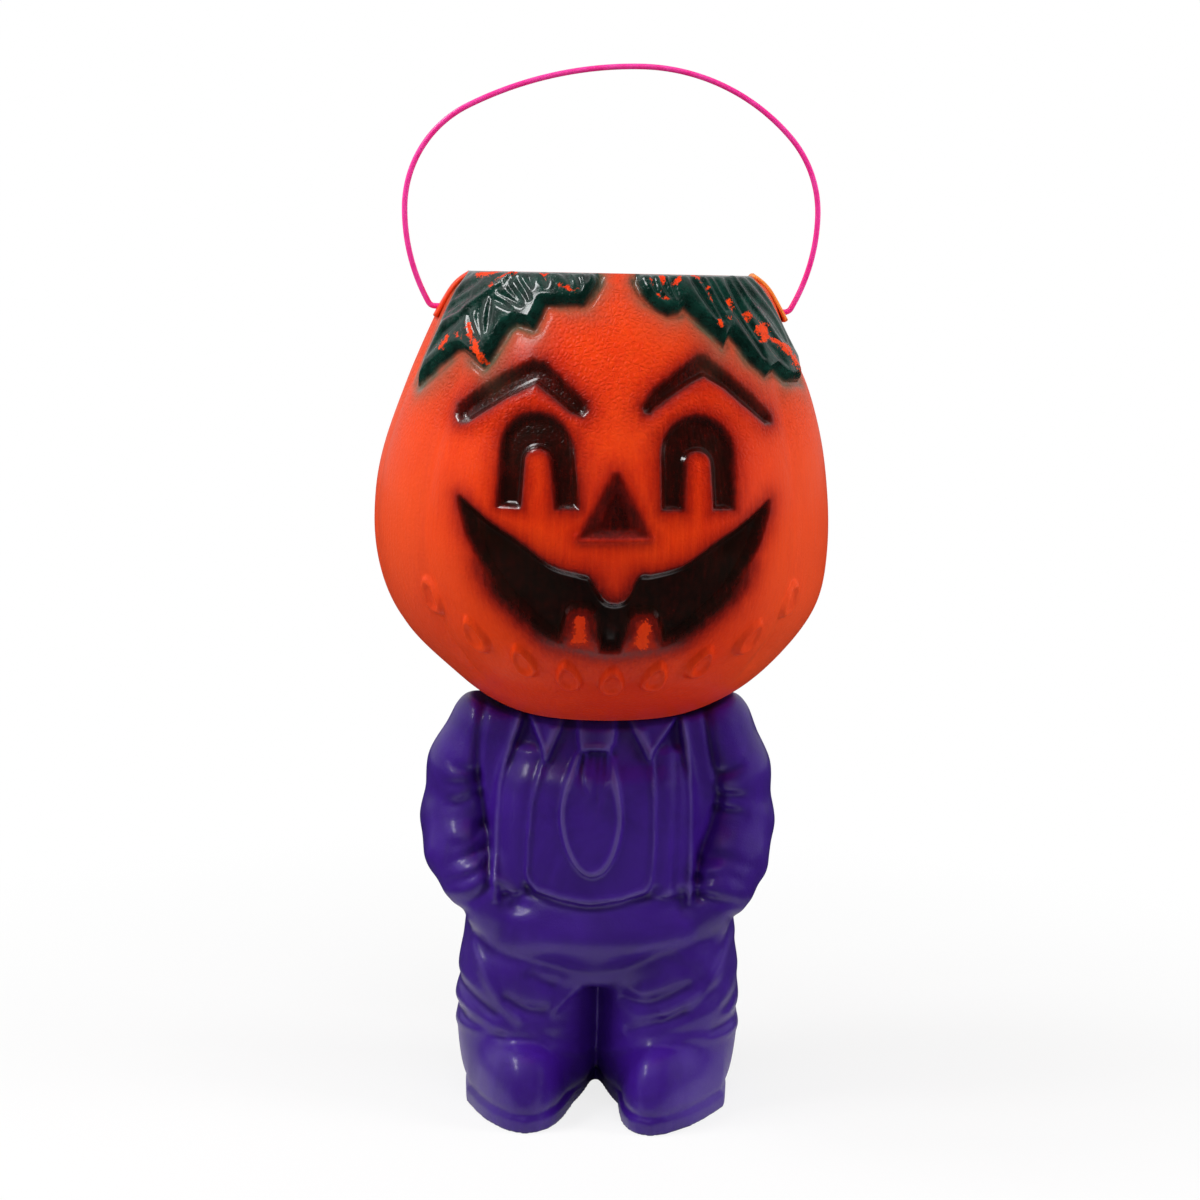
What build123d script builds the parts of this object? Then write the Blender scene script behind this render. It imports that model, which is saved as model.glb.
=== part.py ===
from build123d import *
import math
import os

# A pumpkin candy pail on a standing figure: an orange head that is the pail, a violet body with a round
# neck that the head turns on, and a pink strand as the handle. Millimetres, +Z up, the floor at z = 0,
# the figure's front towards -Y.

# The pail: a round pumpkin whose profile is a lower arc, a belly line and two upper arcs
HEAD_RADIUS = 82.0
FLOOR_RADIUS = 34.0
BELLY_RISE = 67.0
SHOULDER_RISE = 34.0
SHOULDER_DRAW = 4.7
MOUTH_RISE = 55.0
MOUTH_DRAW = 24.1
PAIL_WALL = 2.0
HEAD_TURN = 4.0

# Grooves between the lobes, left out across the face
LOBE_COUNT = 8
FACE_ARC = 104.0
GROOVE_TUBE = 7.0
GROOVE_DEPTH = 1.0
GROOVE_REACH = 24.0
GROOVE_LOW_SHARE = 0.62

# The sunk face, with heights counted from the belly line
FACE_DEPTH = 2.4
BROW_INNER = 9.0
BROW_SPAN = 45.0
BROW_LEVEL = 40.0
BROW_RISE = 20.0
BROW_SHARES = [(0.0, 0.2), (0.42, 1.0), (1.0, 0.0), (0.43, 0.72)]
EYE_SPACING = 54.0
EYE_WIDTH = 25.0
EYE_HEIGHT = 30.0
EYE_LEVEL = 12.5
EYE_GAP = 10.0
EYE_CROWN = 11.5
NOSE_WIDTH = 21.5
NOSE_HEIGHT = 19.5
NOSE_LEVEL = 3.5
GRIN_SPAN = 52.0
GRIN_DROP = 48.0
GRIN_LEVEL = 13.4
LIP_DROP_SHARE = 0.50
LIP_BOW_SHARES = (0.62, 0.27)
JAW_BOW_SHARES = (0.73, 0.62)
UPPER_TOOTH_SHARES = [(0.20, 0.36), (0.07, 0.68), (-0.07, 0.68), (-0.20, 0.36)]
LOWER_TOOTH_SHARES = [(0.08, 1.05), (0.12, 0.74), (0.26, 0.74), (0.34, 1.05)]

# Raised leaves at the rim, drawn for the right side and mirrored
LEAF_HEIGHT = 1.6
LEAF_INNER = 6.5
LEAF_SPAN = 61.0
LEAF_DROP = 38.0
LEAF_SHARES = [
    (0.0, -0.3), (0.0, 0.12), (0.06, 0.34), (0.30, 0.30), (0.46, 0.56),
    (0.54, 0.46), (0.68, 0.82), (0.76, 0.72), (1.0, 1.0), (1.0, -0.3),
]

# Folded tabs at the rim that take the handle
TAB_THICKNESS = 1.7
TAB_WIDTH = 13.0
TAB_LENGTH = 17.0

# The figure: hollow, with the pail's seat and neck on top
SEAT_HEIGHT = 144.0
BODY_WALL = 1.8
SEAT_CLEARANCE = 0.4
NECK_RADIUS = 17.0
NECK_CLEARANCE = 0.08
BEAD_RADIUS = 1.6
BEAD_CLEARANCE = 0.3
NECK_TOP = 3.0
BLOW_HOLE_RADIUS = 3.5

# Torso as stacked ovals: half width and half depth. All levels of the figure are shares of the seat's height.
TORSO_OVALS = {
    "seat": {"width": 40.0, "depth": 30.0},
    "hip": {"width": 46.0, "depth": 36.5},
    "waist": {"width": 45.0, "depth": 37.5},
    "chest": {"width": 45.0, "depth": 36.0},
    "shoulder": {"width": 43.0, "depth": 31.0},
    "collar": {"width": 34.0, "depth": 25.0},
}
TORSO_LEVEL_SHARES = {
    "seat": 0.35, "hip": 0.43, "waist": 0.54, "chest": 0.75, "shoulder": 0.945, "collar": 1.055,
}

# Shirt front, sunk between the jacket edges, with the tie on it
SHIRT_DEPTH = 1.6
SHIRT_HALF_WIDTH = 24.0
SHIRT_HALF_WIDTH_TOP = 18.0
SHIRT_LOW_SHARE = 0.535
SHIRT_HIGH_SHARE = 0.972
TIE_HALF_WIDTH = 10.5
TIE_HALF_DEPTH = 3.2
TIE_LOW_SHARE = 0.597
TIE_HIGH_SHARE = 0.924
KNOT_HALF_WIDTH = 7.0
KNOT_HALF_HEIGHT = 6.0
KNOT_HALF_DEPTH = 4.2

# Arms, with the hands in the trouser pockets
ARM_OUT = 45.0
ARM_HALF_WIDTH = 19.0
ARM_HALF_DEPTH = 24.0
ARM_LOW_SHARE = 0.41
ARM_HIGH_SHARE = 1.05
CUFF_OUT = 42.0
CUFF_FORWARD = 19.0
CUFF_LEVEL_SHARE = 0.583
CUFF_HALF_WIDTH = 17.0
CUFF_HALF_DEPTH = 16.0
CUFF_HALF_HEIGHT = 14.0

# Trouser legs as stacked ovals, each beside the middle seam
LEG_OUT = 25.0
LEG_OVALS = {
    "ankle": {"width": 24.5, "depth": 28.0},
    "shin": {"width": 27.0, "depth": 33.0},
    "knee": {"width": 26.5, "depth": 32.0},
    "thigh": {"width": 22.5, "depth": 34.0},
}
LEG_LEVEL_SHARES = {"ankle": 0.055, "shin": 0.195, "knee": 0.333, "thigh": 0.486}

# Shoes: a round upper on a flat sole
SHOE_OUT = 24.0
SHOE_FORWARD = 19.0
SHOE_LEVEL = 4.0
SHOE_HALF_WIDTH = 22.0
SHOE_HALF_LENGTH = 36.0
SHOE_HALF_HEIGHT = 23.0
SOLE_THICKNESS = 5.0
SOLE_HALF_WIDTH = 21.0
SOLE_HALF_LENGTH = 34.0
HEEL_BACK = 8.0

# The handle: one strand, bent square at both ends and melted into a stop behind the wall
STRAND_RADIUS = 1.0
STRAND_CLEARANCE = 0.35
PIVOT_BELOW_RIM = 13.0
ELBOW_RADIUS = 2.6
ELBOW_STANDOFF = 1.2
STOP_RADIUS = 2.6
STOP_GAP = 1.2
BOW_OUT = 11.0
BOW_RISE = 34.5
CROWN_RISE = 85.0
CROWN_SHIFT = 10.0
BOW_RADIUS = 40.0

# All cuts run this far past the faces that they open
OVERRUN = 5.0

BELLY = SEAT_HEIGHT + BELLY_RISE
SHOULDER = BELLY + SHOULDER_RISE
RIM = SHOULDER + MOUTH_RISE
PIVOT = RIM - PIVOT_BELOW_RIM
SHIRT_LOW = SEAT_HEIGHT * SHIRT_LOW_SHARE
SHIRT_HIGH = SEAT_HEIGHT * SHIRT_HIGH_SHARE
TIE_LOW = SEAT_HEIGHT * TIE_LOW_SHARE
TIE_HIGH = SEAT_HEIGHT * TIE_HIGH_SHARE
ARM_LEVEL = SEAT_HEIGHT * (ARM_LOW_SHARE + ARM_HIGH_SHARE) / 2
ARM_HALF_HEIGHT = SEAT_HEIGHT * (ARM_HIGH_SHARE - ARM_LOW_SHARE) / 2
CUFF_LEVEL = SEAT_HEIGHT * CUFF_LEVEL_SHARE


# The pail's profile


def tangent_radius(rise, draw):
    """Radius of the arc that leaves an upright line and ends rise along it and draw beside it."""
    return (rise**2 + draw**2) / (2 * draw)


LOWER_RADIUS = tangent_radius(BELLY_RISE, HEAD_RADIUS - FLOOR_RADIUS)
LOWER_CENTRE = (HEAD_RADIUS - LOWER_RADIUS, BELLY)
UPPER_RADIUS = tangent_radius(SHOULDER_RISE, SHOULDER_DRAW)
UPPER_CENTRE = (HEAD_RADIUS - UPPER_RADIUS, BELLY)
SHOULDER_ANGLE = math.asin(SHOULDER_RISE / UPPER_RADIUS)
SHOULDER_NORMAL = (math.cos(SHOULDER_ANGLE), math.sin(SHOULDER_ANGLE))
TOP_RADIUS = (MOUTH_DRAW**2 + MOUTH_RISE**2) / (
    2 * (MOUTH_DRAW * SHOULDER_NORMAL[0] - MOUTH_RISE * SHOULDER_NORMAL[1])
)
TOP_CENTRE = (
    UPPER_CENTRE[0] + (UPPER_RADIUS - TOP_RADIUS) * SHOULDER_NORMAL[0],
    UPPER_CENTRE[1] + (UPPER_RADIUS - TOP_RADIUS) * SHOULDER_NORMAL[1],
)


def on_arc(centre, radius, angle):
    """Point of a profile arc, in the upright plane through the axis."""
    return (centre[0] + radius * math.cos(angle), 0, centre[1] + radius * math.sin(angle))


def arc(centre, radius, start, end):
    middle = (start + end) / 2
    return ThreePointArc(
        on_arc(centre, radius, start), on_arc(centre, radius, middle), on_arc(centre, radius, end)
    )


def angle_at(centre, radius, height):
    return math.asin((height - centre[1]) / radius)


def wall_radius(height, inset):
    """How far the upper wall stands from the axis at a height."""
    radius = TOP_RADIUS - inset
    return TOP_CENTRE[0] + radius * math.cos(angle_at(TOP_CENTRE, radius, height))


def head_solid(inset, top):
    """The pumpkin drawn in by inset all round and cut level at top."""
    floor = SEAT_HEIGHT + inset
    low = angle_at(LOWER_CENTRE, LOWER_RADIUS - inset, floor)
    high = angle_at(TOP_CENTRE, TOP_RADIUS - inset, top)
    lower = arc(LOWER_CENTRE, LOWER_RADIUS - inset, low, 0)
    upper = arc(UPPER_CENTRE, UPPER_RADIUS - inset, 0, SHOULDER_ANGLE)
    shoulder = arc(TOP_CENTRE, TOP_RADIUS - inset, SHOULDER_ANGLE, high)
    lid = Line(shoulder @ 1, (0, 0, top))
    axis = Line((0, 0, top), (0, 0, floor))
    base = Line((0, 0, floor), lower @ 0)
    section = make_face([base, lower, upper, shoulder, lid, axis])
    return revolve(section, Axis.Z)


# Relief on the pail's front


def front_prism(face):
    """A flat outline pushed forwards from the axis through the front wall."""
    return extrude(face, amount=HEAD_RADIUS + OVERRUN, dir=(0, -1, 0))


def polygon(points):
    corners = [(x, 0, z) for x, z in points]
    return make_face(Polyline(*corners, close=True))


def mirrored(points):
    return [(-x, z) for x, z in reversed(points)]


def brow_points():
    low = BELLY + BROW_LEVEL
    return [(BROW_INNER + across * BROW_SPAN, low + up * BROW_RISE) for across, up in BROW_SHARES]


def eye_face(side):
    """An arch with a slot up its middle, open at the foot."""
    middle = side * EYE_SPACING / 2
    foot = BELLY + EYE_LEVEL
    spring = foot + EYE_HEIGHT - EYE_WIDTH / 2
    slot_spring = foot + EYE_HEIGHT - EYE_CROWN - EYE_GAP / 2

    def arch(half, low, high):
        left, right = middle - half, middle + half
        crown = ThreePointArc((right, 0, high), (middle, 0, high + half), (left, 0, high))
        legs = Polyline((left, 0, high), (left, 0, low), (right, 0, low), (right, 0, high))
        return make_face([crown, *legs.edges()])

    return arch(EYE_WIDTH / 2, foot, spring) - arch(EYE_GAP / 2, foot - OVERRUN, slot_spring)


def nose_face():
    low = BELLY + NOSE_LEVEL
    half = NOSE_WIDTH / 2
    return polygon([(-half, low), (half, low), (0, low + NOSE_HEIGHT)])


def grin_face():
    """A crescent with one tooth above and two below."""
    tip = BELLY + GRIN_LEVEL

    def at(across, down):
        return (across * GRIN_SPAN, 0, tip - down * GRIN_DROP)

    def curve(depth_share, bow_shares):
        across, down = bow_shares
        left = ThreePointArc(at(-1, 0), at(-across, down), at(0, depth_share))
        right = ThreePointArc(at(0, depth_share), at(across, down), at(1, 0))
        return [left, right]

    jaw = curve(1, JAW_BOW_SHARES)
    lip = curve(LIP_DROP_SHARE, LIP_BOW_SHARES)
    grin = make_face([*jaw, *lip])
    upper_tooth = make_face(Polyline(*[at(*share) for share in UPPER_TOOTH_SHARES], close=True))
    lower_teeth = []
    for side in (-1, 1):
        corners = [at(side * across, down) for across, down in LOWER_TOOTH_SHARES]
        lower_teeth.append(make_face(Polyline(*corners, close=True)))
    return grin - upper_tooth - lower_teeth[0] - lower_teeth[1]


def leaf_points():
    return [
        (LEAF_INNER + across * LEAF_SPAN, RIM - down * LEAF_DROP) for across, down in LEAF_SHARES
    ]


def face_outlines():
    brow = brow_points()
    return [
        polygon(brow), polygon(mirrored(brow)), eye_face(-1), eye_face(1), nose_face(), grin_face(),
    ]


def groove_tube():
    """A round tool that follows the profile and runs off along its tangents at both ends."""
    out = GROOVE_TUBE - GROOVE_DEPTH
    low = -math.pi / 2 * GROOVE_LOW_SHARE
    lower = arc(LOWER_CENTRE, LOWER_RADIUS + out, low, 0)
    upper = arc(UPPER_CENTRE, UPPER_RADIUS + out, 0, SHOULDER_ANGLE)
    low_end = lower @ 0 - (lower % 0) * GROOVE_REACH
    high_end = upper @ 1 + (upper % 1) * GROOVE_REACH
    path = Wire([Line(low_end, lower @ 0), lower, upper, Line(upper @ 1, high_end)])
    start = Plane(origin=path @ 0, z_dir=path % 0)
    return sweep(start * Circle(GROOVE_TUBE), path=path)


def tab_strap():
    """A strap over the shoulder at the rim, on the +X side."""
    foot = RIM - TAB_LENGTH
    outer_radius = TOP_RADIUS + TAB_THICKNESS
    outer = arc(
        TOP_CENTRE, outer_radius,
        angle_at(TOP_CENTRE, outer_radius, foot), angle_at(TOP_CENTRE, outer_radius, RIM),
    )
    inner = arc(
        TOP_CENTRE, TOP_RADIUS - PAIL_WALL,
        angle_at(TOP_CENTRE, TOP_RADIUS - PAIL_WALL, RIM),
        angle_at(TOP_CENTRE, TOP_RADIUS - PAIL_WALL, foot),
    )
    section = make_face([outer, Line(outer @ 1, inner @ 0), inner, Line(inner @ 1, outer @ 0)])
    sweep_angle = math.degrees(TAB_WIDTH / wall_radius(foot, 0))
    return Rot(0, 0, -sweep_angle / 2) * revolve(section, Axis.Z, sweep_angle)


def pumpkin_pail():
    skin = head_solid(0, RIM)
    cavity = head_solid(PAIL_WALL, RIM + OVERRUN)
    leaf_form = head_solid(-LEAF_HEIGHT, RIM)
    leaf = leaf_points()
    for points in (leaf, mirrored(leaf)):
        skin += front_prism(polygon(points)) & leaf_form
    groove = groove_tube()
    side_arc = 360 - FACE_ARC
    for index in range(LOBE_COUNT + 1):
        turn = -90 + FACE_ARC / 2 + side_arc * index / LOBE_COUNT
        skin -= Rot(0, 0, turn) * groove
    sunk_form = head_solid(FACE_DEPTH, RIM)
    backing_form = head_solid(FACE_DEPTH + PAIL_WALL, RIM)
    for outline in face_outlines():
        skin -= front_prism(outline) - sunk_form
        cavity -= front_prism(offset(outline, amount=PAIL_WALL)) - backing_form
    strap = tab_strap()
    skin += strap
    skin += Rot(0, 0, 180) * strap
    shell = skin - cavity
    neck_hole = Cylinder(NECK_RADIUS + NECK_CLEARANCE, 2 * (PAIL_WALL + OVERRUN))
    shell -= Pos(0, 0, SEAT_HEIGHT) * neck_hole
    pivot_hole = Cylinder(STRAND_RADIUS + STRAND_CLEARANCE, 2 * HEAD_RADIUS)
    return shell - Pos(0, 0, PIVOT) * Rot(0, 90, 0) * pivot_hole


# The figure


def oval_stack(ovals, level_shares, inset, x):
    """A smooth column through level ovals, with closed ends drawn in by inset."""
    names = list(ovals)
    sections = []
    for name in names:
        height = SEAT_HEIGHT * level_shares[name]
        if name == names[0]:
            height += inset
        if name == names[-1]:
            height -= inset
        oval = Ellipse(ovals[name]["width"] - inset, ovals[name]["depth"] - inset)
        sections.append(Pos(x, 0, height) * oval)
    return loft(sections)


def torso(inset):
    return oval_stack(TORSO_OVALS, TORSO_LEVEL_SHARES, inset, 0)


def oval_ball(centre, halves, inset):
    return Pos(*centre) * scale(Sphere(1), by=tuple(half - inset for half in halves))


def shoe(side, inset):
    upper = oval_ball(
        (side * SHOE_OUT, -SHOE_FORWARD, SHOE_LEVEL),
        (SHOE_HALF_WIDTH, SHOE_HALF_LENGTH, SHOE_HALF_HEIGHT),
        inset,
    )
    outline = Ellipse(SOLE_HALF_WIDTH - inset, SOLE_HALF_LENGTH - inset)
    heel = Pos(0, SHOE_FORWARD + HEEL_BACK) * Circle(SOLE_HALF_WIDTH - inset)
    sole_face = Pos(side * SHOE_OUT, -SHOE_FORWARD, inset) * (outline + heel)
    sole = extrude(sole_face, amount=SOLE_THICKNESS - inset)
    below = Pos(0, 0, inset) * Box(
        4 * HEAD_RADIUS, 4 * HEAD_RADIUS, SHOE_HALF_HEIGHT,
        align=(Align.CENTER, Align.CENTER, Align.MAX),
    )
    return (upper - below) + sole


def figure_form(inset):
    """The figure's outer form, or its hollow when drawn in by the wall."""
    form = torso(inset)
    for side in (-1, 1):
        form += oval_stack(LEG_OVALS, LEG_LEVEL_SHARES, inset, side * LEG_OUT)
        form += oval_ball(
            (side * ARM_OUT, 0, ARM_LEVEL), (ARM_HALF_WIDTH, ARM_HALF_DEPTH, ARM_HALF_HEIGHT), inset
        )
        form += oval_ball(
            (side * CUFF_OUT, -CUFF_FORWARD, CUFF_LEVEL),
            (CUFF_HALF_WIDTH, CUFF_HALF_DEPTH, CUFF_HALF_HEIGHT),
            inset,
        )
        form += shoe(side, inset)
    return form


def shirt_front():
    """What is sunk between the jacket edges, less the tie and its knot."""
    face = polygon([
        (-SHIRT_HALF_WIDTH, SHIRT_LOW), (SHIRT_HALF_WIDTH, SHIRT_LOW),
        (SHIRT_HALF_WIDTH_TOP, SHIRT_HIGH), (-SHIRT_HALF_WIDTH_TOP, SHIRT_HIGH),
    ])
    sunk = front_prism(face) - torso(SHIRT_DEPTH)
    chest = TORSO_OVALS["chest"]["depth"]
    collar = TORSO_OVALS["shoulder"]["depth"]
    tie = oval_ball(
        (0, -chest + SHIRT_DEPTH, (TIE_LOW + TIE_HIGH) / 2),
        (TIE_HALF_WIDTH, TIE_HALF_DEPTH, (TIE_HIGH - TIE_LOW) / 2),
        0,
    )
    knot = oval_ball(
        (0, -collar + SHIRT_DEPTH, TIE_HIGH),
        (KNOT_HALF_WIDTH, KNOT_HALF_DEPTH, KNOT_HALF_HEIGHT),
        0,
    )
    return sunk - tie - knot


def neck(inset):
    """The round spigot with its snap bead above the pail's floor."""
    radius = NECK_RADIUS - inset
    foot = SEAT_HEIGHT - SEAT_CLEARANCE - BODY_WALL - OVERRUN
    bead = SEAT_HEIGHT + PAIL_WALL + BEAD_CLEARANCE + BEAD_RADIUS
    top = bead + BEAD_RADIUS + NECK_TOP - inset
    post = Pos(0, 0, foot) * Cylinder(
        radius, top - foot, align=(Align.CENTER, Align.CENTER, Align.MIN)
    )
    if inset:
        return post
    return post + Pos(0, 0, bead) * Torus(radius, BEAD_RADIUS)


def figure_body():
    outer = figure_form(0) - shirt_front()
    hollow = figure_form(BODY_WALL)
    torso_hollow = torso(BODY_WALL + SHIRT_DEPTH)
    band = Box(2 * SHIRT_HALF_WIDTH, 2 * HEAD_RADIUS, SHIRT_HIGH - SHIRT_LOW)
    front_band = Pos(0, -HEAD_RADIUS, (SHIRT_LOW + SHIRT_HIGH) / 2) * band
    hollow -= front_band - torso_hollow
    outer -= head_solid(-SEAT_CLEARANCE, RIM)
    hollow -= head_solid(-SEAT_CLEARANCE - BODY_WALL, RIM)
    outer += neck(0)
    hollow += neck(BODY_WALL)
    blow_hole = Cylinder(BLOW_HOLE_RADIUS, SEAT_HEIGHT)
    return outer - hollow - Pos(0, 0, SEAT_HEIGHT + NECK_RADIUS) * blow_hole


# The handle


def handle_path():
    """The strand's middle line, from one stop over the crown to the other, in tangent arcs."""
    stand = wall_radius(PIVOT, 0) + TAB_THICKNESS + ELBOW_STANDOFF
    inner_end = wall_radius(PIVOT + STOP_RADIUS, PAIL_WALL) - STOP_GAP - STOP_RADIUS
    bow_height = PIVOT + BOW_RISE
    crown = (CROWN_SHIFT, RIM - PIVOT_BELOW_RIM + CROWN_RISE)
    edges = []
    for side in (-1, 1):
        bow = side * (stand + BOW_OUT)
        drop = BOW_RISE - ELBOW_RADIUS
        side_radius = (BOW_OUT**2 + drop**2 - ELBOW_RADIUS**2) / (2 * (BOW_OUT - ELBOW_RADIUS))
        elbow_centre = (stand, PIVOT + ELBOW_RADIUS)
        side_centre = (stand + BOW_OUT - side_radius, bow_height)
        lean = math.atan2(elbow_centre[1] - side_centre[1], elbow_centre[0] - side_centre[0])
        across = abs(bow - crown[0])
        up = crown[1] - bow_height
        crown_radius = (across**2 + up**2 - 2 * across * BOW_RADIUS) / (2 * (up - BOW_RADIUS))
        bow_centre = (bow - side * BOW_RADIUS, bow_height)
        crown_centre = (crown[0], crown[1] - crown_radius)
        turn = math.atan2(bow_centre[1] - crown_centre[1], abs(bow_centre[0] - crown_centre[0]))

        def sided(centre, radius, start, end):
            """An arc written for the +X side, turned over for the other side."""
            points = [on_arc(centre, radius, start + (end - start) * part / 2) for part in range(3)]
            return ThreePointArc(*[(side * x, y, z) for x, y, z in points])

        half = [
            Line((side * inner_end, 0, PIVOT), (side * stand, 0, PIVOT)),
            sided(elbow_centre, ELBOW_RADIUS, -math.pi / 2, lean),
            sided(side_centre, side_radius, lean, 0),
            sided((side * bow_centre[0], bow_height), BOW_RADIUS, 0, turn),
            sided((side * crown_centre[0], crown_centre[1]), crown_radius, turn, math.pi / 2),
        ]
        edges += half
    return Wire(edges), inner_end


def handle_strand():
    path, inner_end = handle_path()
    start = Plane(origin=path @ 0, z_dir=path % 0)
    strand = sweep(start * Circle(STRAND_RADIUS), path=path)
    for side in (-1, 1):
        strand += Pos(side * inner_end, 0, PIVOT) * Sphere(STOP_RADIUS)
    print("handle strand length", round(path.length, 1))
    return strand


turned = Rot(0, 0, HEAD_TURN)
nodes = {
    "pumpkin_pail": turned * pumpkin_pail(),
    "figure_body": figure_body(),
    "handle_strand": turned * handle_strand(),
}
os.makedirs("parts", exist_ok=True)
for name, solid in nodes.items():
    export_step(solid, f"parts/{name}.step")
    print(name, "volume", round(solid.volume), "mm3, solids", len(solid.solids()))
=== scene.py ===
# %% [markdown]
# # A pumpkin candy pail
#
# The object is a toy pail for collecting candy. An orange pumpkin head, open at the top, turns on the neck
# of a violet figure in a jacket, and a pink plastic strand is the carrying handle. Head and figure are
# blow-moulded, which means that hot plastic was blown against the inside of a mould. That process leaves
# soft edges, a thin even wall and a fine grain, and those three things are what this lesson is about.
#
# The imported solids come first. They are the fixed frame that everything below is built around.

# %% Load the frame
import bpy
import math
import numpy as np
import openvdb
from mathutils import Matrix, Vector


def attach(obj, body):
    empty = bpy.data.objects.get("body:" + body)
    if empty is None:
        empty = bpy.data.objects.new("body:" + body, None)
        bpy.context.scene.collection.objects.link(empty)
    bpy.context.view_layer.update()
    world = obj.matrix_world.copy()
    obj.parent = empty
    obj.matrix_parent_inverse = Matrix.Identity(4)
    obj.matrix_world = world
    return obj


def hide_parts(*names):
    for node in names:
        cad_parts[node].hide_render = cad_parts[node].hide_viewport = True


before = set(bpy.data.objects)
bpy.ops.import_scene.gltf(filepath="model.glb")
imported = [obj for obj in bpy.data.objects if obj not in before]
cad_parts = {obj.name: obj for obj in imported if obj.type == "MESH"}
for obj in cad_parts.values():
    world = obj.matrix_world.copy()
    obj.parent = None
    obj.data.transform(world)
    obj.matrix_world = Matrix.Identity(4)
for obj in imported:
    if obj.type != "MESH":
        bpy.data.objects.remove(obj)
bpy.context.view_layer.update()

# %% [markdown]
# ## The camera
#
# The photograph was taken from the front, a little above the rim, with the camera tipped slightly sideways.
# A camera is easiest to match through numbers: how far away it stands, how far it looks down, how far it
# rolls, and its focal length in pixels. The focal length becomes a lens by scaling it to the sensor's width.

# %% Camera
MM = 0.001
PHOTO_PIXELS = 1200
FOCAL_PIXELS = 2510
SENSOR = 36.0
LOOK_DOWN = math.radians(7.445)
ROLL = math.radians(1.1)
CAMERA_PLACE = (0, -0.9, 0.3)
camera_data = bpy.data.cameras.new("photo_camera")
camera_data.sensor_width = SENSOR
camera_data.lens = SENSOR * FOCAL_PIXELS / PHOTO_PIXELS
camera = bpy.data.objects.new("photo_camera", camera_data)
bpy.context.scene.collection.objects.link(camera)
aim = Matrix.Rotation(math.pi / 2 - LOOK_DOWN, 4, "X") @ Matrix.Rotation(ROLL, 4, "Z")
camera.matrix_world = Matrix.Translation(CAMERA_PLACE) @ aim
bpy.context.scene.camera = camera
bpy.context.scene.view_settings.view_transform = "Standard"
print("lens", round(camera_data.lens, 1), "mm")

# %% [markdown]
# ## Writing a finish as sums
#
# A procedural finish is a web of small nodes, and a web is hard to read back. Here a socket is wrapped in a
# small class, so that a mask can be written as an ordinary sum such as `1 - mask`. Each sum adds its Math
# node behind the scenes. Every other node comes from one method: first its type, then its settings, then
# what goes into its sockets.

# %% Shader sums
class Value:
    """One socket of a finish that can be used in sums."""

    def __init__(self, finish, socket):
        self.finish = finish
        self.socket = socket

    def sum(self, operation, first, second):
        return self.finish.node("ShaderNodeMath", {"operation": operation}, {0: first, 1: second})

    def __add__(self, other):
        return self.sum("ADD", self, other)

    def __radd__(self, other):
        return self.sum("ADD", other, self)

    def __sub__(self, other):
        return self.sum("SUBTRACT", self, other)

    def __rsub__(self, other):
        return self.sum("SUBTRACT", other, self)

    def __mul__(self, other):
        return self.sum("MULTIPLY", self, other)

    def __rmul__(self, other):
        return self.sum("MULTIPLY", other, self)

    def __rpow__(self, other):
        return self.sum("POWER", other, self)


class Finish:
    """The nodes of a material or of the world, added one at a time."""

    def __init__(self, owner):
        self.owner = owner
        owner.use_nodes = True
        self.tree = owner.node_tree

    def put(self, socket, value):
        if isinstance(value, Value):
            self.tree.links.new(value.socket, socket)
        else:
            socket.default_value = value

    def node(self, kind, settings, sockets, output=0):
        made = self.tree.nodes.new(kind)
        for key, value in settings.items():
            setattr(made, key, value)
        for key, value in sockets.items():
            self.put(made.inputs[key], value)
        return Value(self, made.outputs[output])

    def ramp(self, value, low, high):
        """0 below low, 1 above high and a smooth step between; high may be the lower one."""
        sockets = {"Value": value, "From Min": low, "From Max": high}
        return self.node("ShaderNodeMapRange", {"interpolation_type": "SMOOTHSTEP"}, sockets)

    def mix(self, share, first, second):
        """Two colours, by a share from 0 to 1."""
        settings = {"data_type": "RGBA", "clamp_factor": True}
        return self.node("ShaderNodeMix", settings, {0: share, 6: first, 7: second}, 2)

    def tint(self, first, second):
        """Two colours multiplied, as a thin paint over what lies below it."""
        settings = {"data_type": "RGBA", "blend_type": "MULTIPLY"}
        return self.node("ShaderNodeMix", settings, {0: 1.0, 6: first, 7: second}, 2)

    def blend(self, share, first, second):
        """Two shaders, by a share from 0 to 1."""
        return self.node("ShaderNodeMixShader", {}, {0: share, 1: first, 2: second})

    def ray(self, kind):
        """1 for rays of that kind, such as Camera or Glossy, and 0 for all others."""
        return self.node("ShaderNodeLightPath", {}, {}, f"Is {kind} Ray")

    def clamp(self, value):
        return self.node("ShaderNodeClamp", {}, {"Value": value})

    def place(self):
        return self.node("ShaderNodeTexCoord", {}, {}, "Object")

    def part(self, vector, axis):
        return self.node("ShaderNodeSeparateXYZ", {}, {0: vector}, axis)

    def noise(self, place, scale, detail, roughness=0.5, distortion=0.0, output=0):
        """Random clouds from 0 to 1, with so many to a metre and finer ones added for detail."""
        sockets = {"Vector": place, "Scale": scale, "Detail": detail, "Roughness": roughness}
        return self.node("ShaderNodeTexNoise", {}, {**sockets, "Distortion": distortion}, output)

    def stored(self, name):
        """A number that the mesh carries at each point."""
        return self.node("ShaderNodeAttribute", {"attribute_name": name}, {}, "Fac")

    def bump(self, height, distance, strength=1.0):
        sockets = {"Height": height, "Distance": distance, "Strength": strength}
        return self.node("ShaderNodeBump", {}, sockets)

    def surface(self, **sockets):
        shader = self.tree.nodes["Principled BSDF"]
        for key, value in sockets.items():
            self.put(shader.inputs[key.replace("_", " ")], value)
        return self.owner

    def output(self, kind, shader):
        self.put(self.tree.nodes[kind].inputs["Surface"], shader)
        return self.owner


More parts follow.
